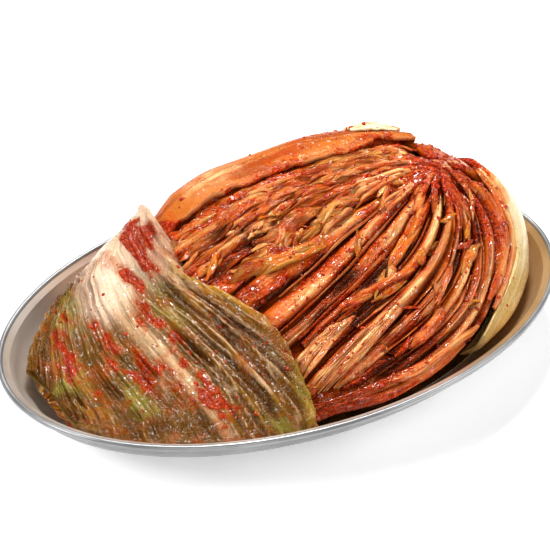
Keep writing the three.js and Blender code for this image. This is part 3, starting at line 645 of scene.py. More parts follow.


# ---- ribs ----------------------------------------------------------------------------

# Ribs: first line, last line, start, end and crown, as in the CAD; how far the pale crest lies to
# the right, pleats at the lower end, and yellow; then pale, paste and painted shade along the rib.
RIBS = {
    "rib_flat": ((0.423, 0.488, 0.1, 0.97, 0.7), 0.1, 0.5, 0.45,
                 [(0.1, 0.8), (0.3, 0.9), (0.45, 0.25), (0.7, 0.3), (0.9, 0.05), (1, 0.5)],
                 [(0, 0.4), (0.5, 0.28), (0.9, 0.7)], [(0.75, 0), (0.9, 0.3)]),
    "rib_pale": ((0.494, 0.549, 0.07, 0.99, 0.85), 0.25, 0.4, 0.2,
                 [(0.1, 0.2), (0.25, 0.75), (0.4, 0.8), (0.55, 0.35), (0.7, 0.85), (1, 0.45)],
                 [(0.1, 0.7), (0.25, 0.35), (0.8, 0.42)], [(0, 0)]),
    "rib_split": ((0.555, 0.602, 0.09, 1, 0.75), 0.3, 0.6, 0.2,
                  [(0.1, 0.9), (0.35, 0.6), (0.5, 0.1), (0.7, 0.1), (0.9, 0.6)],
                  [(0.1, 0.25), (0.5, 0.5), (0.7, 0.65), (0.9, 0.35)], [(0.5, 0.1), (0.7, 0.4)]),
    "rib_short": ((0.608, 0.65, 0.06, 0.9, 0.95), 0, 0.7, 0.5,
                  [(0.1, 0.1), (0.4, 0.05), (0.6, 0.35), (0.8, 0.1), (1, 0.5)],
                  [(0.1, 0.5), (0.4, 0.75), (0.6, 0.4), (0.8, 0.65)], [(0.25, 0.1), (0.4, 0.5), (0.6, 0.1)]),
    "rib_broad": ((0.656, 0.706, 0.045, 0.99, 0.9), -0.1, 1, 0.35,
                  [(0.1, 1), (0.25, 0.6), (0.35, 0.15), (0.65, 0), (0.8, 0.5), (0.9, 0.95)],
                  [(0.1, 0.2), (0.4, 0.5), (0.62, 0.8), (0.85, 0.3)],
                  [(0.4, 0.1), (0.52, 0.4), (0.6, 1), (0.68, 0.7), (0.78, 0)]),
    "rib_long": ((0.712, 0.762, 0.05, 1, 1), 0, 1, 0.3,
                 [(0.08, 0.1), (0.2, 0.65), (0.35, 0.5), (0.5, 0.9), (0.65, 0.75), (0.85, 0.45), (1, 0.1)],
                 [(0.1, 0.5), (0.3, 0.26), (0.6, 0.24), (0.9, 0.45)], [(0, 0)]),
    "rib_curled": ((0.768, 0.808, 0.06, 0.78, 1), -0.5, 0.5, 0.1,
                   [(0.1, 0.1), (0.35, 0.7), (0.6, 0.4), (0.75, 0.1), (0.9, 0.5)],
                   [(0, 0.5), (0.5, 0.42)], [(0.1, 0.1), (0.5, 0.35), (0.8, 0.2)]),
    "rib_torn": ((0.814, 0.858, 0.045, 0.8, 0.8), 0.1, 0.3, 0.1,
                 [(0.1, 0.4), (0.3, 0.45), (0.45, 0.95), (0.6, 0.4), (0.75, 0.6), (0.9, 0.1)],
                 [(0.1, 0.4), (0.4, 0.25), (0.8, 0.3), (1, 0.7)], [(0.85, 0), (1, 0.6)]),
    "rib_deep": ((0.864, 0.9, 0.05, 0.94, 0.9), 0.3, 0.2, 0.1,
                 [(0.08, 0.5), (0.2, 0.1), (0.45, 0.2), (0.6, 0.5), (0.8, 0.1)],
                 [(0.1, 0.5), (0.4, 0.35), (0.8, 0.5), (1, 0.8)],
                 [(0.1, 0.2), (0.3, 0.1), (0.8, 0.1), (1, 0.4)]),
    "rib_front": ((0.906, 0.949, 0.045, 0.97, 1), 0, 0.2, 0.15,
                  [(0.1, 0.1), (0.3, 0.35), (0.4, 0.85), (0.75, 1), (0.9, 0.5), (1, 0.2)],
                  [(0.1, 0.55), (0.35, 0.3), (0.5, 0.2), (0.9, 0.3), (1, 0.5)], [(0, 0)]),
    "rib_rim": ((0.955, 1, 0.045, 0.95, 1), 0.4, 0.2, 0.2,
                [(0.1, 0.4), (0.2, 0.6), (0.35, 0.1), (0.5, 0.35), (0.65, 0.25), (0.8, 0)],
                [(0.1, 0.3), (0.4, 0.55), (0.6, 0.35), (0.8, 0.6)], [(0.55, 0), (0.72, 0.4), (1, 0.5)]),
    "paste": ((0.814, 0.858, 0.83, 0.99, 1), 0, 0, 0, [(0, 0)], [(0, 0.95)], [(0, 0.1)]),
}

# Hollows in the ribs and inner leaves: s, t, reach along and across, depth. They sink the surface and also get
# painted shade.
HOLLOWS = [(0.68, 0.668, 0.07, 0.028, 5), (0.36, 0.632, 0.09, 0.013, 4), (0.5, 0.62, 0.08, 0.014, 4.5),
           (0.36, 0.492, 0.06, 0.012, 3.5), (0.6, 0.576, 0.07, 0.012, 3.5), (0.87, 0.855, 0.08, 0.02, 2.5),
           (0.3, 0.706, 0.14, 0.008, 3.5), (0.42, 0.76, 0.12, 0.008, 3.5), (0.3, 0.788, 0.12, 0.007, 3),
           (0.54, 0.862, 0.1, 0.008, 2.5), (0.42, 0.806, 0.14, 0.008, 2.5), (0.24, 0.882, 0.1, 0.008, 2),
           (0.78, 0.6, 0.05, 0.014, 2.5), (0.69, 0.338, 0.05, 0.03, 3), (0.72, 0.27, 0.04, 0.03, 3),
           (0.62, 0.32, 0.04, 0.02, 2.5), (0.8, 0.19, 0.05, 0.03, 3), (0.76, 0.04, 0.06, 0.03, 2.5),
           (0.45, 0.2, 0.05, 0.02, 2), (0.5, 0.39, 0.05, 0.015, 2.5), (0.86, 0.33, 0.04, 0.03, 2.5)]


def hollow_depth(s, t):
    return sum(depth * bell(s, s0, ds) * bell(t, t0, dt) for s0, t0, ds, dt, depth in HOLLOWS)


def rib(name, rows=210, cols=29):
    (t0, t1, start, end, crown_height), aside, pleats, yellow, pale, paste, painted_shade = RIBS[name]
    seed = sum(map(ord, name))
    s = steps(rows, start, end)[:, None]
    u = np.sin(steps(cols, -PI / 2, PI / 2))[None]
    f = (s - start) / (end - start)
    inside = 1 - u * u
    taper = smooth(0, 0.12, f) * (1 - smooth(0.9, 1, f))
    width = 0.95 + 0.12 * noise(7 * f, np.sign(u), seed) + 0.05 * noise(26 * f, np.sign(u), seed + 9)
    shift = 0.08 * noise(5 * f, 3, seed + 1)
    t = lerp(t0, t1, np.clip(0.5 + 0.5 * (u * width + shift * inside), 0, 1))
    # the section: a round top, with a fold, pleats, dips and grain in it
    crest = u - aside * 0.5 * inside
    round_top = root(1 - np.abs(crest) ** 2.3, 0.5)
    low_end = smooth(0.45, 0.75, f)
    pleat = np.abs(noise(2.5 * f, 4.5 * u, seed + 7))
    off = RIB_DEPTH * 0.94 * (round_top * lerp(0.55, 1, taper) * crown_height - 1)
    slanted = folds(1.6 * f, 1.7 * u + 1.2 * f, seed + 2)
    off = off - 0.7 * smooth(0.5, 0.95, slanted) * inside * (1 - smooth(0.5, 0.9, f))
    off = off - pleats * 2.2 * (1 - smooth(0.02, 0.3, pleat)) * low_end * inside
    off = off - 1.1 * smooth(-0.2, 0.9, noise(6 * f, 8, seed + 3)) * inside
    off = off + 0.3 * noise(18 * f, 2.5 * u, seed + 4) * root(inside, 0.5)
    off = off + 0.12 * noise(60 * f, 5 * u, seed + 8)
    hollow = hollow_depth(s, t)
    top = fan_off(s + 0 * u, t, np.maximum(off - hollow * inside, -0.97 * RIB_DEPTH))
    low = np.stack([fan_off(s[:, 0], np.full(rows, lerp(t0, t1, v)), np.full(rows, -RIB_DEPTH))
                    for v in (0.94, 0.5, 0.06)], 1)
    # looks
    # the pale crest is partly the stalk's own cream and partly a painted highlight along the top of the round
    # section
    line = bell(u, aside, 0.45 + 0.15 * noise(5 * f, 0, seed + 10))
    pale = 1.2 * along(pale, f) * line * (0.75 + 0.5 * noise(5 * f, 2.5 * u, seed + 5))
    edge = smooth(0.55, 1.0, np.abs(u))
    paste = along(paste, f) + 0.15 * edge + 0.34 * noise(9 * f, 1.5 * u, seed + 6)
    paste = paste + 0.5 * (1 - smooth(0, 0.1, f))
    # painted shade in the pleats and hollows, along both edges where the ribs meet, and on the flanks away from
    # the crest
    groove_shade = 0.5 * (1 - smooth(0.02, 0.2, pleat)) * low_end * inside * pleats
    painted_shade = along(painted_shade, f) + 0.85 * smooth(0.7, 1.0, np.abs(u)) + groove_shade + 0.55 * hollow
    painted_shade = painted_shade + 0.22 * smooth(0.35, 0.8, np.abs(crest))
    pool = bell(s, 0.88, 0.07) * bell(t, 0.862, 0.022)
    mask = masks(pale * (1 - pool), paste - 0.25 * np.clip(pale, 0, 1) + 0.7 * pool, 0.05, painted_shade)
    tone = masks(yellow * (0.6 + 0.9 * noise(4 * f, 1.2 * u, seed + 5, 4)) * (1 - edge))
    flow = stacked(130 * f, 6 * u, seed % 97)
    # the underside gets heavy painted shade
    under = masks(0, 0.4, 0, 0.9) + np.zeros((rows, 3, 1))
    piece = Piece("leaf_" + name)
    piece.tube(np.concatenate([top, low], 1), np.concatenate([mask, under], 1),
               np.concatenate([flow, flow[:, :3]], 1), np.concatenate([tone, 0 * under], 1))
    return piece


def strip(piece, path, body, off, half, thick, twist, seed, looks, form, length=120, cols=13, painted_shade=0):
    """A leaf strip over a path of x and y. off and twist run along it. half and thick are given
    as the full size and the share of it that is left where body is 0. looks: pale, paste,
    yellow, green; form: ruffle, curl, pleat."""
    pale, paste, yellow, green = looks
    ruffle, curl, pleat = form
    half, thick = (size * lerp(least, 1, body) for size, least in (half, thick))
    p, n = dome_frame(*path)
    p = p + n * np.asarray(off)[:, None]
    run = unit(np.gradient(p, axis=0))
    side = unit(np.cross(n, run))
    n = unit(np.cross(run, side))
    a = np.radians(twist)[:, None]
    lateral, upward = side * np.cos(a) + n * np.sin(a), n * np.cos(a) - side * np.sin(a)
    u, f = steps(cols, -1, 1)[None], steps(len(body))[:, None]
    ridge = folds(2.2 * f, 2.6 * u, seed + 5)
    lift = curl * (u * u - 0.4) + ruffle * noise(11 * f + 2 * u, 1.5 * u, seed) * np.abs(u) ** 0.7
    lift = lift + pleat * ridge
    wide = half[:, None] * (u + 0.14 * noise(9 * f, np.sign(u) * 5, seed + 1) * np.abs(u))
    solid = thick[:, None] * (0.25 + 0.75 * root(1 - u * u, 0.5)) * 0.5
    middle = p[:, None] + lateral[:, None] * wide[..., None]
    faces = [middle + upward[:, None] * (lift + sign * solid)[..., None] for sign in (1, -1)]
    streaky = 0.7 + 0.6 * noise(5 * f, 2.2 * u, seed + 2)
    # painted shade in the pleats' hollows and along both edges, where the strips lie over each other
    hollow = 0.6 * (1 - smooth(-0.7, 0, ridge)) * min(1, pleat)
    mask = masks(pale * (1 - 0.5 * smooth(0.5, 1, np.abs(u))) * streaky,
                 paste + 0.28 * noise(7 * f, 1.5 * u, seed + 3, 3),
                 green * (0.7 + 0.6 * noise(3 * f, u, seed + 4, 7)),
                 painted_shade + hollow + 0.5 * smooth(0.7, 1, np.abs(u)))
    piece.leaf(*faces, mask, stacked(length * f, half[:, None] * u, seed % 97), masks(yellow * streaky, 0, 0.5))


def tapered(f, ends=0.12):
    return smooth(0, ends, f) * (1 - smooth(1 - ends, 1, f))


def rib_edges():
    """Thin leaf edges that stand in the gaps between the ribs."""
    piece, rng, f = Piece("slivers_between_ribs"), np.random.default_rng(11), steps(70)
    spans = [values[0][:2] for name, values in RIBS.items() if name != "paste"]
    body = tapered(f, 0.3)
    for n, (a, b) in enumerate(zip(spans, spans[1:])):
        seed = 500 + 10 * n
        s = lerp(rng.uniform(0.1, 0.4), rng.uniform(0.7, 0.96), f)
        t = 0.5 * (a[1] + b[0]) + 0.004 * noise(4 * f, 0, seed)
        off = rng.uniform(-4.4, -2.8) + noise(3 * f, 1, seed)
        half = 1.4 + 1.2 * rng.random()
        twist = rng.uniform(60, 110) + 30 * noise(3 * f, 2, seed)
        strip(piece, fan(s, t), body, off, (half, 0.3), (0.9, 0.3), twist, seed,
              (rng.uniform(0.1, 0.8), rng.uniform(0.3, 0.5), 0.3, 0), (0.5, 0.3, 0), cols=9)
    return piece


# Smaller leaves and stalk ends that lie on the ribs: from and to [s, t]; how many strands and how
# far they spread; height over the head, half width, thickness, twist at both ends; looks; form.
SMALL_LEAVES = [
    ((0.33, 0.428, 0.5, 0.447), (2, 0.012), (0.2, 1.6, 1.4, 10, -10), (0.9, 0.12, 0.2, 0), (0.2, -0.8, 0)),
    ((0.6, 0.2, 0.76, 0.205), (1, 0), (-0.6, 2.2, 1.5, 0, 10), (0.8, 0.2, 0.3, 0), (0.2, -1, 0)),
    ((0.45, 0.47, 0.8, 0.43), (2, 0.02), (-0.9, 3.2, 1.2, 20, -15), (0.2, 0.25, 0.8, 0.5), (0.6, -0.8, 0.5)),
    ((0.7, 0.675, 0.98, 0.68), (6, 0.046), (-0.6, 1.5, 1.2, 30, -20), (0.85, 0.2, 0.2, 0), (0.5, -0.4, 0.3)),
    ((0.62, 0.738, 0.98, 0.752), (6, 0.044), (-0.2, 1.4, 1.2, 30, -30), (0.85, 0.18, 0.2, 0), (0.6, -0.4, 0.3)),
    ((0.78, 0.795, 0.97, 0.79), (3, 0.02), (-3.2, 2.4, 1.3, 10, -6), (0.7, 0.2, 0.1, 0), (0.4, -0.6, 0.3)),
    ((0.36, 0.776, 0.66, 0.8), (1, 0), (0.3, 1.8, 1.1, 70, -60), (0.5, 0.35, 0.2, 0), (1, 1.2, 0)),
    ((0.47, 0.765, 0.57, 0.812), (1, 0), (1, 2.2, 1, -60, 80), (0.6, 0.25, 0.3, 0), (1.2, 1.6, 0)),
    ((0.5, 0.822, 0.78, 0.852), (1, 0), (-0.1, 3, 1.2, -12, 30), (0.2, 0.25, 0.2, 0), (1.6, -0.8, 0.4)),
    ((0.38, 0.69, 0.65, 0.632), (2, 0.014), (-0.9, 2, 1.4, 30, -20), (0.25, 0.35, 0.3, 0), (0.6, -0.9, 0.3)),
    ((0.58, 0.665, 0.74, 0.62), (2, 0.012), (-1.4, 1.8, 1.2, -30, 20), (0.25, 0.35, 0.3, 0), (0.8, -0.5, 0.3)),
    ((0.12, 0.617, 0.44, 0.634), (2, 0.016), (-1.2, 2.4, 1.2, -10, 10), (0.1, 0.15, 0.6, 0), (0.2, -0.3, 0.2)),
    ((0.05, 0.2, 0.36, 0.27), (4, 0.05), (-0.3, 1.5, 1.3, 20, -10), (0.9, 0.25, 0.2, 0), (0.4, -0.6, 0.2)),
    ((0.06, 0.36, 0.3, 0.38), (5, 0.09), (-0.1, 1.5, 1.2, -20, 20), (0.9, 0.22, 0.3, 0), (0.4, -0.6, 0.2)),
    ((0.05, 0.52, 0.26, 0.51), (3, 0.05), (-0.5, 1.4, 1.2, 0, 20), (0.8, 0.25, 0.2, 0), (0.3, -0.6, 0.2)),
]


def small_leaves():
    piece, f = Piece("small_leaves_and_ends"), steps(80)
    body = tapered(f, 0.22)
    strands = [(leaf, k) for leaf in SMALL_LEAVES for k in range(leaf[1][0])]
    for n, (leaf, k) in enumerate(strands):
        (s0, t0, s1, t1), (count, spread), (height, half, thick, *twist), (pale, *others), form = leaf
        seed = 1700 + 12 * n
        s = lerp(s0, s1, np.clip(f + 0.25 * noise(n * 0.9, 7, 5) * (1 - f), 0, 1))
        t = lerp(t0, t1, f) + spread * ((k + 0.5) / count - 0.5) * (0.5 + 0.7 * f)
        t = t + 0.003 * noise(3 * f, 0, seed)
        off = height + 0.8 * noise(3 * f, 1, seed) - 3.6 * (1 - body)
        pale = pale * (0.8 + 0.4 * noise(n * 1.3, 0, 6))
        strip(piece, fan(s, t), body, off, (half, 0.3), (thick, 0.35), lerp(*twist, f), seed, (pale, *others),
              form, 60, 15)
    return piece


def leaf_bases():
    """Leaf bases that meet over the stem."""
    piece, rng, f = Piece("leaf_bases_over_stem"), np.random.default_rng(31), steps(50)
    body = tapered(f, 0.3)
    for n, t in enumerate(steps(19, 0.03, 0.985)):
        seed = 2700 + 10 * n
        x1, y1 = fan(rng.uniform(0.1, 0.24), t)
        bend = rng.uniform(-1.2, 1.2) * np.sin(PI * f)
        x = lerp(STEM["x"] + rng.uniform(-2, 2), x1, f) + bend
        y = lerp(STEM["y"] + rng.uniform(-2, 2), y1, f) - bend
        strip(piece, (x, y), body, rng.uniform(-0.6, 0.6) - 5 * f ** 3 + 0.4 * noise(3 * f, 1, seed),
              (lerp(1.5, rng.uniform(2, 3.2), f), 0.4), (1.5, 0.4),
              rng.uniform(-25, 25) + 20 * noise(3 * f, 2, seed), seed,
              (rng.choice([0.1, 0.3, 0.8]), 0.85 - 0.5 * f[:, None], 0.2, 0), (0.3, -0.8, 0.3), 30, 11)
    return piece


def back_folds():
    """Orange folds in the hollow under the back leaf's edge."""
    piece, rng, f = Piece("folds_under_back_leaf"), np.random.default_rng(57), steps(70)
    body = tapered(f, 0.2)
    for n in range(24):
        seed = 2300 + 10 * n
        x = rng.uniform(-46, 66) + f * rng.uniform(26, 40)
        y = along(BACK_LEAF["top"], x) - rng.uniform(1, 9) + 1.8 * noise(3 * f, 0, seed)
        half = rng.uniform(2.4, 4.4)
        off = rng.uniform(-3.6, -0.8) + noise(4 * f, 1, seed) - 1.2 * (1 - body)
        twist = rng.uniform(-20, 20) + 25 * noise(3 * f, 2, seed)
        looks = (rng.uniform(0, 0.6), rng.uniform(0.25, 0.6), 0.3, 0)
        strip(piece, (x, y), body, off, (half, 0.35), (1.2, 0.4), twist, seed, looks, (1, -0.8, 0.6), 40)
    return piece


# Inner leaves: first line, last line, start, end and waves, as in the CAD; looks of their strips.
INNER_LEAVES = [(0.01, 0.064, 0.07, 0.98, 5), (0.07, 0.124, 0.12, 0.93, 7), (0.13, 0.18, 0.07, 0.99, 6),
                (0.186, 0.24, 0.11, 0.9, 8), (0.246, 0.3, 0.08, 0.97, 6), (0.306, 0.36, 0.12, 0.99, 7),
                (0.366, 0.417, 0.08, 0.94, 5)]
INNER = {"wave": 1.5, "depth": 3.6, "deepest": -2.6, "strips": 8, "last_line": 0.425}
# Pale, yellow and green.
INNER_LOOKS = [(0.95, 0.3, 0), (0.4, 0.9, 0.2), (0.15, 0.3, 0), (0.1, 0.1, 0), (0.5, 0.6, 0.6), (0.2, 0.5, 0.1)]


def inner_leaf(number, rng):
    """One crumpled thin leaf of the back half, with the strips that lie in it."""
    t0, t1, start, end, waves = INNER_LEAVES[number]
    piece, seed = Piece("crumpled_leaf_%d" % (number + 1)), 860 + number
    s, a = steps(200, start, end)[:, None], steps(26)[None]
    wave = INNER["wave"] * np.sin(2 * PI * waves * s + 5 * a) * (0.6 + 0.4 * np.cos(9 * a))
    ridge = folds(5 * s + a, 2.4 * a, seed)
    soft = noise(16 * s, 3 * a, seed + 20)
    t = lerp(t0, t1, a) + 0.012 * noise(9 * s, 2 * a, seed + 40) * (2 * a - 1)
    sunk = hollow_depth(s, t)
    lift = np.maximum(0.8 * wave + 0.9 * ridge + 0.5 * soft - sunk, INNER["deepest"]) - INNER["depth"]
    outer, inner = (fan_off(s + 0 * a, t, lift + side) for side in (0.9, -0.7))
    tint = noise(5 * s, 1.5 * a, seed + 60, number)
    # painted shade all over the sheet under its strips, more in the creases between its ridges and in the
    # hollows
    mask = masks(0.3 * smooth(0.2, 0.8, tint), 0.6 + 0.4 * noise(12 * s, 3 * a, seed + 80),
                 0.3 * smooth(0, 0.6, -tint), 0.22 + 0.5 * (1 - smooth(-0.6, 0.2, ridge)) + 0.25 * sunk)
    piece.leaf(outer, inner, mask, stacked(130 * s, 12 * a, seed % 97), masks(0.5 * smooth(-0.3, 0.4, soft)))
    f = steps(110)
    body = root(tapered(f, 0.2), 0.6)
    for k in range(INNER["strips"]):
        seed = 900 + 40 * number + k
        s0 = rng.uniform(0.08, 0.6)
        s = lerp(s0, min(s0 + rng.uniform(0.2, 0.45), 0.985), f)
        t = lerp(t0, t1, rng.random()) + rng.uniform(-0.03, 0.03) * (f - 0.5) + 0.02 * noise(2.6 * f, 0, seed)
        t = np.clip(t, 0.006, INNER["last_line"])
        half = rng.uniform(1.6, 4.4) * (0.55 + 0.45 * smooth(0.05, 0.35, s))
        sunk = hollow_depth(s, t)
        off = rng.uniform(-3.2, -0.7) + noise(4 * f, 1, seed) - 1.8 * (1 - body) - 0.9 * sunk
        twist = rng.uniform(-30, 30) + 45 * noise(2.5 * f, 2, seed)
        pale, yellow, green = INNER_LOOKS[rng.integers(len(INNER_LOOKS))]
        # strips that lie in the hollows get painted shade
        strip(piece, fan(s, t), body, off, (half, 0.35), (1.3, 0.4), twist, seed,
              (pale, rng.uniform(0.12, 0.5), yellow, green),
              (rng.uniform(0.5, 1.4), rng.uniform(-1.4, 0.8), rng.uniform(0.2, 0.8)), cols=15,
              painted_shade=0.25 * sunk[:, None])
    return piece


SHREDS = {"count": 100, "along": (0.06, 0.95), "back_share": 0.82, "back": (0.0, 0.45), "front": (0.45, 0.92)}
SHRED_LOOKS = [(1.0, 0.2, 0, 0), (0.9, 0.3, 0.5, 0), (0.3, 0.15, 0.9, 0.2), (0.1, 0.3, 0.9, 0.4),
               (0.1, 0.7, 0.1, 0), (0.2, 0.3, 0.3, 0)]


def shreds():
    """Small torn and curled bits that lie every way over the inner leaves and ribs."""
    piece, rng, f = Piece("torn_shreds"), np.random.default_rng(91), steps(26)
    body = tapered(f, 0.3)
    for n in range(SHREDS["count"]):
        seed = 3100 + 7 * n
        s0 = rng.uniform(*SHREDS["along"])
        t0 = rng.uniform(*SHREDS["back" if rng.random() < SHREDS["back_share"] else "front"])
        (x0, x1), (y0, y1) = fan(np.array([s0, s0 + 0.01]), t0)
        heading = math.atan2(y1 - y0, x1 - x0) + rng.uniform(-0.8, 0.8)
        length, bow = rng.uniform(9, 24), rng.uniform(-7, 7)
        run, aside = length * (f - 0.5), bow * (f - 0.5) ** 2 + 0.7 * noise(3 * f, 0, seed)
        x = x0 + run * math.cos(heading) - aside * math.sin(heading)
        y = y0 + run * math.sin(heading) + aside * math.cos(heading)
        off = rng.uniform(-2.6, -0.6) + 0.6 * noise(3 * f, 1, seed) - 0.8 * hollow_depth(s0, t0)
        half = rng.uniform(1.1, 3.2)
        looks = SHRED_LOOKS[rng.integers(len(SHRED_LOOKS))]
        twist = rng.uniform(-35, 35) + 45 * noise(2 * f, 2, seed)
        strip(piece, (x, y), body, off, (half, 0.3), (0.9, 0.4), twist, seed, looks,
              (0.5, rng.uniform(-0.9, 0.6), 0.2), length, 7)
    return piece


# ---- outer leaves --------------------------------------------------------------------


def sheet(name, outer, inner, mask, flow, look, slot, node, tone=0.0):
    """A broad leaf as a piece of its own."""
    piece = Piece(name)
    piece.leaf(outer, inner, mask, flow, tone)
    return piece.make(LOOKS[look], slot, [node])


def across(x, low, waist, over):
    """Angles over the head at x from the height low at the back to the same at the front."""
    back, front = angle_at(x, low, True), angle_at(x, low, False)
    b = steps(waist + 1)
    return np.concatenate([lerp(back, 0, b), steps(over + 1, 0, 180)[1:], lerp(180, front, b)[1:]])


WRAP = {"left": -129, "middle": -70, "low": 17, "thickness": 2, "layer": 0.8, "rib": 2.2, "curl": 1.4}
# Right edge of the wrapped leaf, its midrib and half width, and a second vein: by angle.
WRAP_EDGE = [(0, -37), (78, -38), (89, -39.5), (95, -45), (101, -49), (105, -49.5), (110, -45), (118, -38),
             (127, -30.5), (134, -28.5), (144, -28.5), (155, -31), (170, -33), (240, -36)]
WRAP_MIDRIB = [(0, -60), (80, -64), (95, -76), (110, -80), (126, -79), (145, -76), (240, -66)]
WRAP_MIDRIB_HALF = [(0, 15), (80, 15), (95, 11), (110, 8), (126, 6), (145, 4), (240, 4)]
WRAP_VEIN = [(115, -83), (127, -84), (135, -88), (145, -91), (162, -95), (240, -100)]
# Its raised corner: angle, reach and height.
WRAP_CORNER = (70, 24, 3)


def wrap():
    angle = across(WRAP["middle"], WRAP["low"], 14, 165)[None]
    a = (1 - (1 - steps(200)) ** 1.4)[:, None]
    # the CAD spaces the leaf's rows by count, so b follows the same even steps
    coarse = across(WRAP["middle"], WRAP["low"], 2, 15)
    b = np.interp(angle[0], coarse, steps(len(coarse)))[None]
    edge = along(WRAP_EDGE, angle) + 0.9 * noise(30 * b, 0, 41) + 0.5 * noise(70 * b, 0, 42)
    x = lerp(edge, WRAP["left"], a)
    # distance from the midrib, and lanes of creases that spread from its upper end
    gap, half = x - along(WRAP_MIDRIB, angle), along(WRAP_MIDRIB_HALF, angle)
    mid = bell(gap, 0, half)
    vein = bell(x, along(WRAP_VEIN, angle), 2) * smooth(116, 128, angle)
    right, left = smooth(0, 6, gap - 0.6 * half), 1 - smooth(-10, 4, gap)
    run = (angle - 90) / 90
    lane = np.where(gap > 0, gap / (0.35 + 0.75 * smooth(-0.3, 0.9, run)) + 5 * run, gap / (0.7 + 0.35 * run))
    bend = 1.2 * noise(3.5 * run, lane * 0.05, 3)
    big, crease = folds(lane * 0.11 + bend, 1.7 * run, 51), folds(lane * 0.26 + bend, 2.6 * run, 52)
    small, fine = folds(lane * 0.8 + 0.8 * bend, 5 * run, 53), noise(lane * 1.7, 9 * run, 54)
    base = (1 - smooth(92, 108, angle)) * smooth(-30, -10, gap) * (0.7 + 0.5 * noise(angle * 0.1, x * 0.12, 66))
    calm = np.clip(1 - 0.85 * mid - 0.5 * vein - 0.5 * base, 0, 1)
    lift = WRAP["rib"] * mid + 1.1 * vein
    lift = lift + calm * (lerp(1.5, 0.8, left) * big + 1.4 * crease + 0.7 * small + 0.2 * fine)
    lift = lift + 1.6 * fbm(x * 0.1, angle * 0.05, 55) * left * calm
    corner_at, corner_reach, corner_height = WRAP_CORNER
    lift = lift + corner_height * bell(angle, corner_at, corner_reach) * (1 - smooth(0, 0.25, a))
    lift = (lift + WRAP["curl"] * (1 - smooth(0, 0.06, a)) + 0.5) * np.clip(np.sin(PI * b) ** 1.5 * 1.3, 0, 1)
    outer = skin_off(x, angle, WRAP["layer"] + WRAP["thickness"] * 0.7 + np.maximum(lift, -1.2))
    inner = skin_off(x, angle, WRAP["layer"] + 0.1 + np.clip(lift - 1.2, 0, 2.5))
    # looks
    patch = fbm(x * 0.06, angle * 0.035, 61)
    pale = bell(gap, 0, 0.62 * half) * (0.9 - 0.25 * smooth(128, 150, angle)) + 0.6 * vein
    # where the pale follows the crests of the creases and folds it is a painted highlight; the midrib, the vein
    # and the stalk base are pale of their own
    pale = pale + 0.5 * base * (0.5 + 0.8 * big) + 0.9 * smooth(0.74, 0.92, crease) * right
    pale = pale + 0.6 * smooth(0.78, 0.96, small)
    leafy = (0.5 + 1.1 * patch + 0.6 * left * smooth(100, 120, angle)) * (1 - mid) * (1 - base)
    trail = 0.9 * bell(gap, half + 1, 5) * (1 - smooth(150, 168, angle))
    trail = trail + 0.7 * bell(gap + half, 0.1 * (angle - 120) - 7, 7) * bell(angle, 122, 16)
    trail = trail + 0.5 * bell(gap, -36, 8) * bell(angle, 100, 18)
    trail = trail + 0.6 * bell(gap, 16, 10) * (1 - smooth(88, 108, angle))
    blotch = noise(x * 0.16, angle * 0.11, 63) + 0.6 * noise(x * 0.4, angle * 0.3, 64)
    paste = 0.14 + trail * (0.5 + 0.8 * blotch) + 0.22 * blotch + 0.1 * smooth(150, 180, angle)
    # painted shade in the valleys of the creases and small folds
    valley_shade = (1 - smooth(-0.75, -0.1, crease)) * (0.4 + 0.6 * right) + 0.5 * (1 - smooth(-0.8, -0.2, big))
    painted_shade = (0.9 * valley_shade + 0.8 * (1 - smooth(-0.8, -0.2, small))) * calm * (1 - 0.7 * base)
    yellow = bell(a, 0, 0.035) + 0.7 * smooth(0.4, 0.9, crease) * bell(x, -118, 10)
    yellow = yellow + 0.45 * smooth(0.5, 0.95, big) * right * smooth(100, 120, angle)
    return sheet("wrapped_leaf", outer, inner, masks(pale, paste, leafy, painted_shade), stacked(run * 150, lane, 7),
                 "green", "green_leaf", "wrap_leaf", masks(yellow, base, patch))


LEFT_LEAF = {"right": -98, "left": -132.5, "angles": (16, 150), "thickness": 2, "layer": -3}


def left_leaf():
    u, f = np.sin(steps(60, 0, PI / 2))[:, None], steps(130)[None]
    x = lerp(LEFT_LEAF["right"], LEFT_LEAF["left"], u)
    angle = lerp(*LEFT_LEAF["angles"], f)
    fold, small = folds(9 * f + 2 * u, 2 * u, 71), folds(24 * f + 3 * u, 4 * u, 72)
    outer = skin_off(x, angle, LEFT_LEAF["layer"] + LEFT_LEAF["thickness"] * 0.7 + 0.6 * fold + 0.3 * small)
    inner = skin_off(x, angle, LEFT_LEAF["layer"])
    # paler on the fold crests as painted highlight, darker in the fold valleys as painted shade
    mask = masks(0.3 * smooth(0.5, 0.9, fold), 0.12 + 0.35 * noise(9 * f, 3 * u, 73),
                 0.45 + 0.5 * noise(5 * f, 2 * u, 74), 0.6 * (1 - smooth(-0.7, 0, fold)))
    return sheet("far_leaf", outer, inner, mask, stacked(x, f * 160, 9), "green", "green_leaf", "left_leaf",
                 masks(0.6 * smooth(0.2, 0.8, small)))


def upper_edge(leaf, x):
    return np.minimum(along(leaf["top"], x), 0.93 * back_y(x))


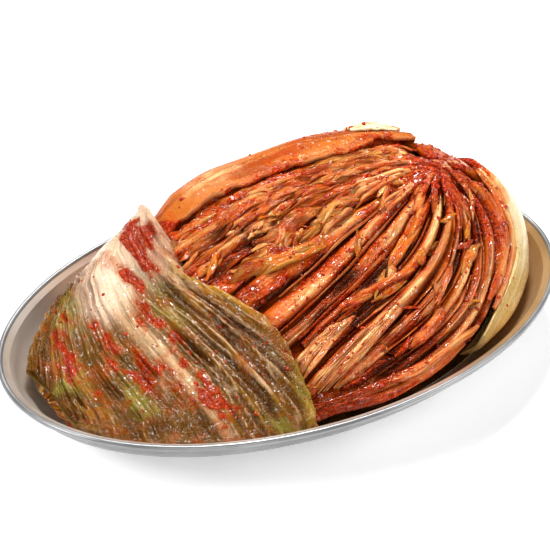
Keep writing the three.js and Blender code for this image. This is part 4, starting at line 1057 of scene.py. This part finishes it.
def back_sheet(name, leaf, look, slot, node, pale):
    """A broad leaf that rises from the foot of the back and lies over the ridge."""
    u, v = steps(170)[:, None], steps(56)[None]
    left, right = leaf["left"], leaf["right"]
    x = lerp(left, right, u)
    foot, head = angle_at(x, leaf["low"], True), angle_over(x, upper_edge(leaf, x))
    ragged = 1.1 * noise(8 * u, 0, 81) + 0.5 * noise(27 * u, 0, 86)
    waist = 0.25
    rise = np.sin(np.clip((v - waist) / (1 - waist), 0, 1) * PI / 2)
    angle = np.where(foot < 0, np.where(v < waist, foot * (1 - v / waist), rise * (head + ragged * rise ** 4)),
                     lerp(foot, head, np.sin(v * PI / 2)))
    dents = fbm(4 * u, 2.5 * v, 83, 2)
    ripple = 0.4 * np.sin(0.11 * x + 0.03 * angle) * smooth(0, 40, angle)
    lift = ripple + 0.2 * noise(2 * u, 11 * v + 2 * u, 82) + 0.5 * dents
    lip = bell(v, 1, 0.03)
    layer = along(leaf["layer"], x) + leaf["stand"] * np.sin(PI * u) * v ** 1.5
    outer = skin_off(x, angle, layer + leaf["thickness"] * 0.85 + lift + 0.2 * lip)
    inner = skin_off(x, angle, layer + np.minimum(lift, 0.4))
    # a painted highlight: a pale sheen patch near the leaf's upper edge
    painted_highlight = bell(x, -3, 12) * bell(v, 0.83, 0.06) * (0.8 + noise(30 * u, 9 * v, 85))
    specks = smooth(0.1, 0.7, noise(26 * u, 9 * v, 84) + 0.5 * noise(70 * u, 20 * v, 87))
    paste = 0.08 + 0.3 * specks + 0.45 * smooth(0.86, 1, v) * smooth(-0.3, 0.4, noise(26 * u, 4 * v, 88))
    paste = paste + 0.5 * (1 - smooth(0.02, 0.2, u)) * (0.7 + noise(30 * u, 5 * v, 89))
    return sheet(name, outer, inner, masks(pale * (0.7 + 0.5 * dents) + 1.1 * painted_highlight + 0.25 * lip, paste, 0.03),
                 stacked(u * (right - left), v * 60, 12 + len(name)), look, slot, node)


CROWN = {"turns": (-1, 84), "swing": (-0.6, 0.1), "start": 11, "margin": 3, "back_margin": 7,
         "thickness": 3, "layer": -CROWN_COVER, "step": 0.5}


def crown_turn(f, reach):
    return np.radians(lerp(*CROWN["turns"], f) + lerp(*CROWN["swing"], f) * (reach - CROWN["start"]))


def crown_reach(f):
    """How far from the stem the crown goes in one direction before it meets the head's outline."""
    reach, margin = CROWN["start"], CROWN["margin"]
    while reach < RIGHT:
        turn = crown_turn(f, reach)
        x, y = STEM["x"] + reach * math.cos(turn), STEM["y"] + reach * math.sin(turn)
        back_margin = lerp(margin, CROWN["back_margin"], 1 - smooth(106, 118, x))
        if x > RIGHT - margin or y > back_y(x) - back_margin or y < front_y(x) + margin:
            break
        reach += CROWN["step"]
    return reach


def crown():
    b = steps(90)[None]
    reach = lerp(CROWN["start"], np.array([crown_reach(f) for f in b[0]]), steps(60)[:, None])
    turn = crown_turn(b, reach)
    x, y = STEM["x"] + reach * np.cos(turn), STEM["y"] + reach * np.sin(turn)
    p, n = dome_frame(x, y)
    fold = noise(b * 9, reach * 0.03, 91)
    lift = 0.7 * fold + 0.4 * fbm(x * 0.12, y * 0.12, 92, 2)
    outer, inner = p + n * (CROWN["layer"] + CROWN["thickness"] + lift)[..., None], p + n * CROWN["layer"]
    cream = bell(b, 0.25, 0.1) * (1 - smooth(20, 34, reach))
    paste = 0.22 + 0.5 * (1 - smooth(12, 30, reach)) + 0.3 * noise(x * 0.12, y * 0.12, 93) - 0.4 * cream
    # paler on the folds' crests as painted highlight; the cream patch near the stem is the leaf's own
    return sheet("crown_of_leaf_bases", outer, inner,
                 masks(0.8 * cream + 0.3 * smooth(0.2, 0.8, fold), paste, 0.03), stacked(reach, b * 60, 17),
                 "orange", "orange_leaf", "crown_leaf")


# The outer leaf, and its top and thickness by the turn about its centre.
OUTER_LEAF = {"from": 50, "to": -80, "low": 18, "layer": 1, "centre": (60, -5)}
OUTER_TOP = [(-80, 30), (-64, 35), (-48, 38), (-28, 43), (-18, 50), (-10, 58), (2, 65), (20, 66), (50, 58)]
OUTER_THICKNESS = [(-80, 2), (-55, 3), (-30, 4), (-15, 5.5), (0, 7), (20, 6), (50, 3)]


def outer_leaf():
    f, b = steps(150)[:, None], steps(44)[None]
    degrees = lerp(OUTER_LEAF["from"], OUTER_LEAF["to"], f)
    turn = np.radians(degrees) + 0 * b
    top = along(OUTER_TOP, degrees) + 0.6 * noise(12 * f, 0, 105)
    z = lerp(OUTER_LEAF["low"] + 12 * smooth(20, OUTER_LEAF["from"], degrees), top, b)
    p, ahead, under = (surface_at(turn + dt, z + dz, OUTER_LEAF["centre"])
                       for dt, dz in ((0, 0), (0.02, 0), (0, -0.5)))
    n = outward(p, ahead, under)
    thick = along(OUTER_THICKNESS, degrees) * (0.55 + 0.45 * np.sin(PI * b))
    veins = noise(2 * f, 8 * b + f, 101) + 0.5 * noise(3 * f, 20 * b, 102)
    lift = 0.35 * veins + 0.4 * fbm(5 * f, 2 * b, 103, 2)
    outer, inner = p + n * (OUTER_LEAF["layer"] + thick + lift)[..., None], p + n * OUTER_LEAF["layer"]
    rosy = 0.3 * smooth(0.8, 1, b) * (1 - smooth(0.3, 0.6, f))
    rusty = 0.42 * (1 - smooth(0.16, 0.42, f + 0.12 * (1 - b))) * (1 + 0.5 * noise(6 * f, 3 * b, 106))
    # painted shade, darker towards its front end
    mask = masks((0.5 + 0.4 * veins) * (1 - rusty), 0.16 * noise(9 * f, 4 * b, 104) + rosy + rusty,
                 0.1 + 0.7 * smooth(0.4, 0.8, f) + 0.2 * (1 - b), 0.25 * smooth(0.85, 1, f))
    return sheet("thick_outer_leaf", outer, inner, mask, stacked(f * 150, b * 40, 19), "pale", "pale_leaf",
                 "outer_leaf", masks(0.5 * (1 - smooth(0.2, 0.5, f))))


# Leaves along the front: from x, to x, inset from the edge, height, half width, pale.
FRONT_FOLDS = [(-46, 58, 1.2, 0.2, 2.6, 0.35), (-42, 66, 4.0, -0.6, 2.4, 0.9), (10, 70, 2.8, 0.6, 2.0, 0.7)]


def front_folds():
    """Leaves along the foot of the front, over the heart's side; they darken towards the wrap as painted shade
    under its edge.
    """
    piece, f = Piece("leaves_along_front"), steps(130)
    for n, (from_x, to_x, inset, height, half, pale) in enumerate(FRONT_FOLDS):
        x = lerp(from_x, to_x, f)
        y = front_y(x) + inset + 0.8 * noise(4 * f, n, 130)
        off, twist = height + 0.5 * noise(5 * f, n, 131), 10 * noise(3 * f, n, 132)
        # lit falls towards the wrap: less pale and green, more paste, and painted shade
        lit = smooth(-25, 30, x)[:, None]
        strip(piece, (x, y), tapered(f), off, (half, 0.5), (1.4, 1), twist, 2970 + 7 * n,
              (pale * lit, 0.28 + 0.4 * (1 - lit), 0.3 * lit, 0), (0.4, -0.8, 0.3), to_x - from_x, 15,
              0.5 * (1 - lit))
    return piece


def tip_fold():
    """The pale leaf's thick edge, which slopes down to the leaf below it."""
    piece, f = Piece("edge_of_tip_leaf"), steps(50)
    x = lerp(TIP_LEAF["left"] + 1, TIP_LEAF["right"] - 2, f)
    body = tapered(f, 0.3)
    strip(piece, (x, upper_edge(TIP_LEAF, x) - 1.2), body, 3.4 + 1.2 * body, (2.9, 1 / 2.9), (1.6, 1 / 1.6),
          30 + 0 * f, 2960, (1, 0.12, 0.2, 0), (0.2, 0.3, 0.1), 26, 11)
    return piece


# Folds by the outer leaf: inset from its top, height, pale.
RIM_FOLDS = [(2.6, -0.4, 0.3), (0.4, 0.9, 0.9)]


def rim_folds():
    """Folds that close the gap between the last rib and the outer leaf."""
    piece, f = Piece("folds_by_outer_leaf"), steps(100)
    degrees = lerp(14, -66, f)
    turn = np.radians(degrees)
    place = surface_at(turn, along(OUTER_TOP, degrees), OUTER_LEAF["centre"])
    for n, (inset, height, pale) in enumerate(RIM_FOLDS):
        x, y = place[:, 0] - inset * np.cos(turn), place[:, 1] - inset * np.sin(turn)
        strip(piece, (x, y), tapered(f, 0.15), height + 0.4 * noise(6 * f, n, 121),
              (2.6 + 0.5 * noise(5 * f, n, 120), 0.4), (1.4, 1), 8 * noise(4 * f, n, 122), 2900 + n,
              (pale, 0.22, 0.3, 0), (0.4, -0.7, 0.2), cols=15)
    return piece


# The cut stem, from its foot up: share of its radius, height over the head.
STEM_RINGS = [(0.75, -7), (1.0, -4.5), (1.02, -3.2), (0.98, -1.6), (0.86, -0.4), (0.6, 0.1), (0.25, -0.3)]
STEM_RADIUS = 8


def stem():
    turn = steps(61, 0, 2 * PI)[:-1]
    rings = []
    for share, off in STEM_RINGS:
        r = STEM_RADIUS * share * (1 + 0.08 * noise(turn * 2, share, 111) + 0.04 * noise(turn * 6, share, 112))
        p, n = dome_frame(STEM["x"] + r * np.cos(turn), STEM["y"] + r * np.sin(turn))
        rings.append(p + n * (off + 0.3 * noise(turn * 4, off, 113))[:, None])
    level = np.arange(len(rings))[:, None]
    mask = masks(0.5, 0.5 + 0.25 * noise(turn * 3, level, 114))
    piece = Piece("cut_stem")
    piece.tube(np.array(rings), mask, stacked(level * 3, turn * 8, 3))
    return piece.make(LOOKS["orange"], "pale_stalk", ["stem"])


# ---- build: the inner leaves share one random sequence, so their order counts -----------

dish()
juice()
food = [heart(), stem()]
for rib_name in RIBS:
    look, slot = ("heart", "paste") if rib_name == "paste" else ("rib", "rib")
    food.append(rib(rib_name).make(LOOKS[look], slot, [rib_name]))
food += [maker().make(LOOKS["rib"], "rib") for maker in (rib_edges, small_leaves, leaf_bases)]
food.append(back_folds().make(LOOKS["inner"], "inner_leaf"))
inner_rng = np.random.default_rng(23)
for number in range(len(INNER_LEAVES)):
    node = "inner_leaf_%d" % (number + 1)
    food.append(inner_leaf(number, inner_rng).make(LOOKS["inner"], "inner_leaf", [node]))
food.append(shreds().make(LOOKS["inner"], "inner_leaf"))
food += [wrap(), left_leaf(),
         back_sheet("smooth_back_leaf", BACK_LEAF, "orange", "orange_leaf", "back_leaf", 0.08),
         back_sheet("pale_tip_leaf", TIP_LEAF, "pale", "pale_stalk", "tip_leaf", 0.5), crown()]
food.append(rim_folds().make(LOOKS["rib"], "rib"))
food.append(tip_fold().make(LOOKS["pale"], "pale_stalk"))
food.append(front_folds().make(LOOKS["rib"], "rib"))
food.append(outer_leaf())

# ---- flakes and lumps ------------------------------------------------------------------

# size and spread: mean and deviation of the logarithm of half their length, in mm; flat: their
# thickness for their length; cluster: the noise between which they thicken.
FLAKES = {"count": 2400, "tries": 60000, "size": -0.75, "spread": 0.3, "flat": 0.2, "cluster": (0.45, 0.9),
          "seed": 77}
LUMPS = {"count": 420, "tries": 20000, "size": 0.0, "spread": 0.35, "flat": 0.5, "cluster": (0.55, 0.95),
         "seed": 78}
# Where they lie thickest: x, y, square of the reach along x and y, weight.
THICKEST = [(100, 10, 420, 420, 1.2), (19, -72, 225, 25, 1.5), (8, -22, 150, 150, 1)]
# Half the largest length in mm, and the lowest place in m.
LARGEST_LUMP, LOWEST_LUMP = 2.2, 0.013
# The plan they are thrown on, and the share of them that stays on the outer leaf.
SCATTER_X, SCATTER_Y, ON_OUTER_LEAF = (-132, 134), (-92, 86), 0.12
# How unevenly a lump is cut, and its breadth for its length.
UNEVEN, BREADTH = (0.65, 1.15), (0.5, 0.9)
# They fall from this height, leaning to the back, each with a tilt of its own.
ABOVE, LEAN, TILT = 120, 0.35, 0.25
OCTA = np.array([(1, 0, 0), (0, 1, 0), (-1, 0, 0), (0, -1, 0), (0, 0, 1), (0, 0, -1)], float)
OCTA_FACES = np.array([(0, 1, 4), (1, 2, 4), (2, 3, 4), (3, 0, 4), (1, 0, 5), (2, 1, 5), (3, 2, 5), (0, 3, 5)])


def rounder(points, faces):
    """The same body with every face cut in four and its corners on the unit ball."""
    points, cut, middles = [tuple(p) for p in points], [], {}

    def middle(a, b):
        key = (min(a, b), max(a, b))
        if key not in middles:
            middles[key] = len(points)
            points.append(tuple(unit(np.array(points[a]) + np.array(points[b]))))
        return middles[key]

    for a, b, c in faces:
        ab, bc, ca = middle(a, b), middle(b, c), middle(c, a)
        cut += [(a, ab, ca), (ab, b, bc), (ca, bc, c), (ab, bc, ca)]
    return np.array(points), np.array(cut)


def uppermost(trees, x, y, tilt):
    """Place and normal of whatever lies uppermost in a plan place, seen a little from the front."""
    direction = Vector((tilt[0], LEAN + tilt[1], -1)).normalized()
    origin = Vector((x, y, ABOVE)) * MM - Vector((0, LEAN * 0.05, 0))
    best = None
    for thing, tree in trees:
        place, normal, _, distance = tree.ray_cast(origin, direction)
        if place is not None and (best is None or distance < best[2]):
            best = (place, normal, distance, thing.name)
    return best


def heaviness(kind, xs, ys):
    """How thickly flakes or lumps lie: in clusters, and less over the back leaf and the ends."""
    density = smooth(*kind["cluster"], 0.5 + 0.5 * fbm(xs * 0.07, ys * 0.07, 201))
    density = density + 0.02 + sum(much * np.exp(-(xs - x) ** 2 / dx - (ys - y) ** 2 / dy)
                                   for x, y, dx, dy, much in THICKEST)
    smear = bell(xs + 0.25 * (ys + 30), -84, 9) * smooth(-80, -60, ys)
    density = density * np.where(xs < -42, 0.12 + 0.7 * smear, 1)
    return np.clip(density * np.where((ys > 50) & (xs < 60), 0.2, 1) * np.where(xs > 118, 0.35, 1), 0, 1)


def scatter(name, kind, body, faces):
    """Pepper flakes or lumps of paste on the food, in clusters."""
    depsgraph = bpy.context.evaluated_depsgraph_get()
    trees = [(thing, BVHTree.FromObject(thing, depsgraph)) for thing in food]
    rng = np.random.default_rng(kind["seed"])
    piece, made, tries = Piece(name), 0, kind["tries"]
    xs, ys = rng.uniform(*SCATTER_X, tries), rng.uniform(*SCATTER_Y, tries)
    chance = rng.random(tries)
    for x, y, go, dense in zip(xs, ys, chance, heaviness(kind, xs, ys)):
        tilt = rng.normal(0, TILT, 2)
        if made >= kind["count"] or go > dense:
            continue
        best = uppermost(trees, x, y, tilt)
        if best is None or best[0].z < LOWEST_LUMP:
            continue
        if best[3] == "thick_outer_leaf" and go > ON_OUTER_LEAF * dense:
            continue
        place, normal = np.array(best[0]) / MM, np.array(best[1])
        size = min(rng.lognormal(kind["size"], kind["spread"]), LARGEST_LUMP)
        side = unit(np.cross(normal, rng.normal(size=3)))
        shape = body * rng.uniform(*UNEVEN, (len(body), 1))
        shape = shape * np.array([size, size * rng.uniform(*BREADTH), kind["flat"] * size + 0.1])
        points = place + shape @ np.stack([side, np.cross(normal, side), normal]) + normal * 0.05
        piece.add(points, faces, masks(), stacked(*rng.uniform(0, 60, 3)))
        made += 1
    return piece.make(PASTE, "paste")


PASTE = paste_look()
scatter("pepper_flakes", FLAKES, OCTA, OCTA_FACES)
scatter("paste_lumps", LUMPS, *rounder(OCTA, OCTA_FACES))

# ---- stage -----------------------------------------------------------------------------

CAMERA = {"at": (-0.421995, -0.695083, 0.618192), "to": (-0.000799, 0.008456, 0.045805), "lens": 131.67}
LIT_POINT = (0, 0, 0.03)
# Lights: place, size and power.
LIGHTS = {"key": ((0.3, 0.55, 1.15), 0.4, 20), "left": ((-1.05, 0.15, 0.85), 0.45, 10),
          "right": ((1.0, -0.7, 0.75), 0.7, 8), "front": ((-0.6, -1.25, 0.9), 1.2, 9)}
WORLD_STRENGTH = 0.1
FLOOR_REACH = 6


def stand(name, data, place, target):
    """Puts a light or a camera in its place, turned to its target."""
    thing = bpy.data.objects.new(name, data)
    thing.location = place
    thing.rotation_euler = (Vector(target) - thing.location).to_track_quat("-Z", "Y").to_euler()
    bpy.context.scene.collection.objects.link(thing)
    return thing


mesh = bpy.data.meshes.new("floor")
mesh.from_pydata([(x * FLOOR_REACH, y * FLOOR_REACH, 0) for x, y in ((-1, -1), (1, -1), (1, 1), (-1, 1))], [],
                 [(0, 1, 2, 3)])
floor_look = Look("pale_floor", Roughness=0.9, Specular_IOR_Level=0.1, Emission_Color=(1, 1, 1, 1),
                  Emission_Strength=0.35)
floor_look.set("Base Color", floor_look.mix(floor_look.grain(floor_look.place(), 2), (0.97, 0.97, 0.97, 1),
                                            (0.99, 0.99, 0.99, 1)))
mesh.materials.append(floor_look.material)
floor = bpy.data.objects.new("floor", mesh)
bpy.context.scene.collection.objects.link(floor)

for name, (place, size, power) in LIGHTS.items():
    light = bpy.data.lights.new(name, "AREA")
    light.shape, light.size, light.energy = "DISK", size, power
    stand(name, light, place, LIT_POINT)

world = bpy.data.worlds.new("studio")
bpy.context.scene.world = world
world.use_nodes = True
world.node_tree.nodes["Background"].inputs["Color"].default_value = (1, 1, 1, 1)
world.node_tree.nodes["Background"].inputs["Strength"].default_value = WORLD_STRENGTH

camera = bpy.data.cameras.new("camera")
camera.lens, camera.clip_start = CAMERA["lens"], 0.05
bpy.context.scene.camera = stand("camera", camera, CAMERA["at"], CAMERA["to"])
bpy.context.scene.view_settings.view_transform = "Standard"
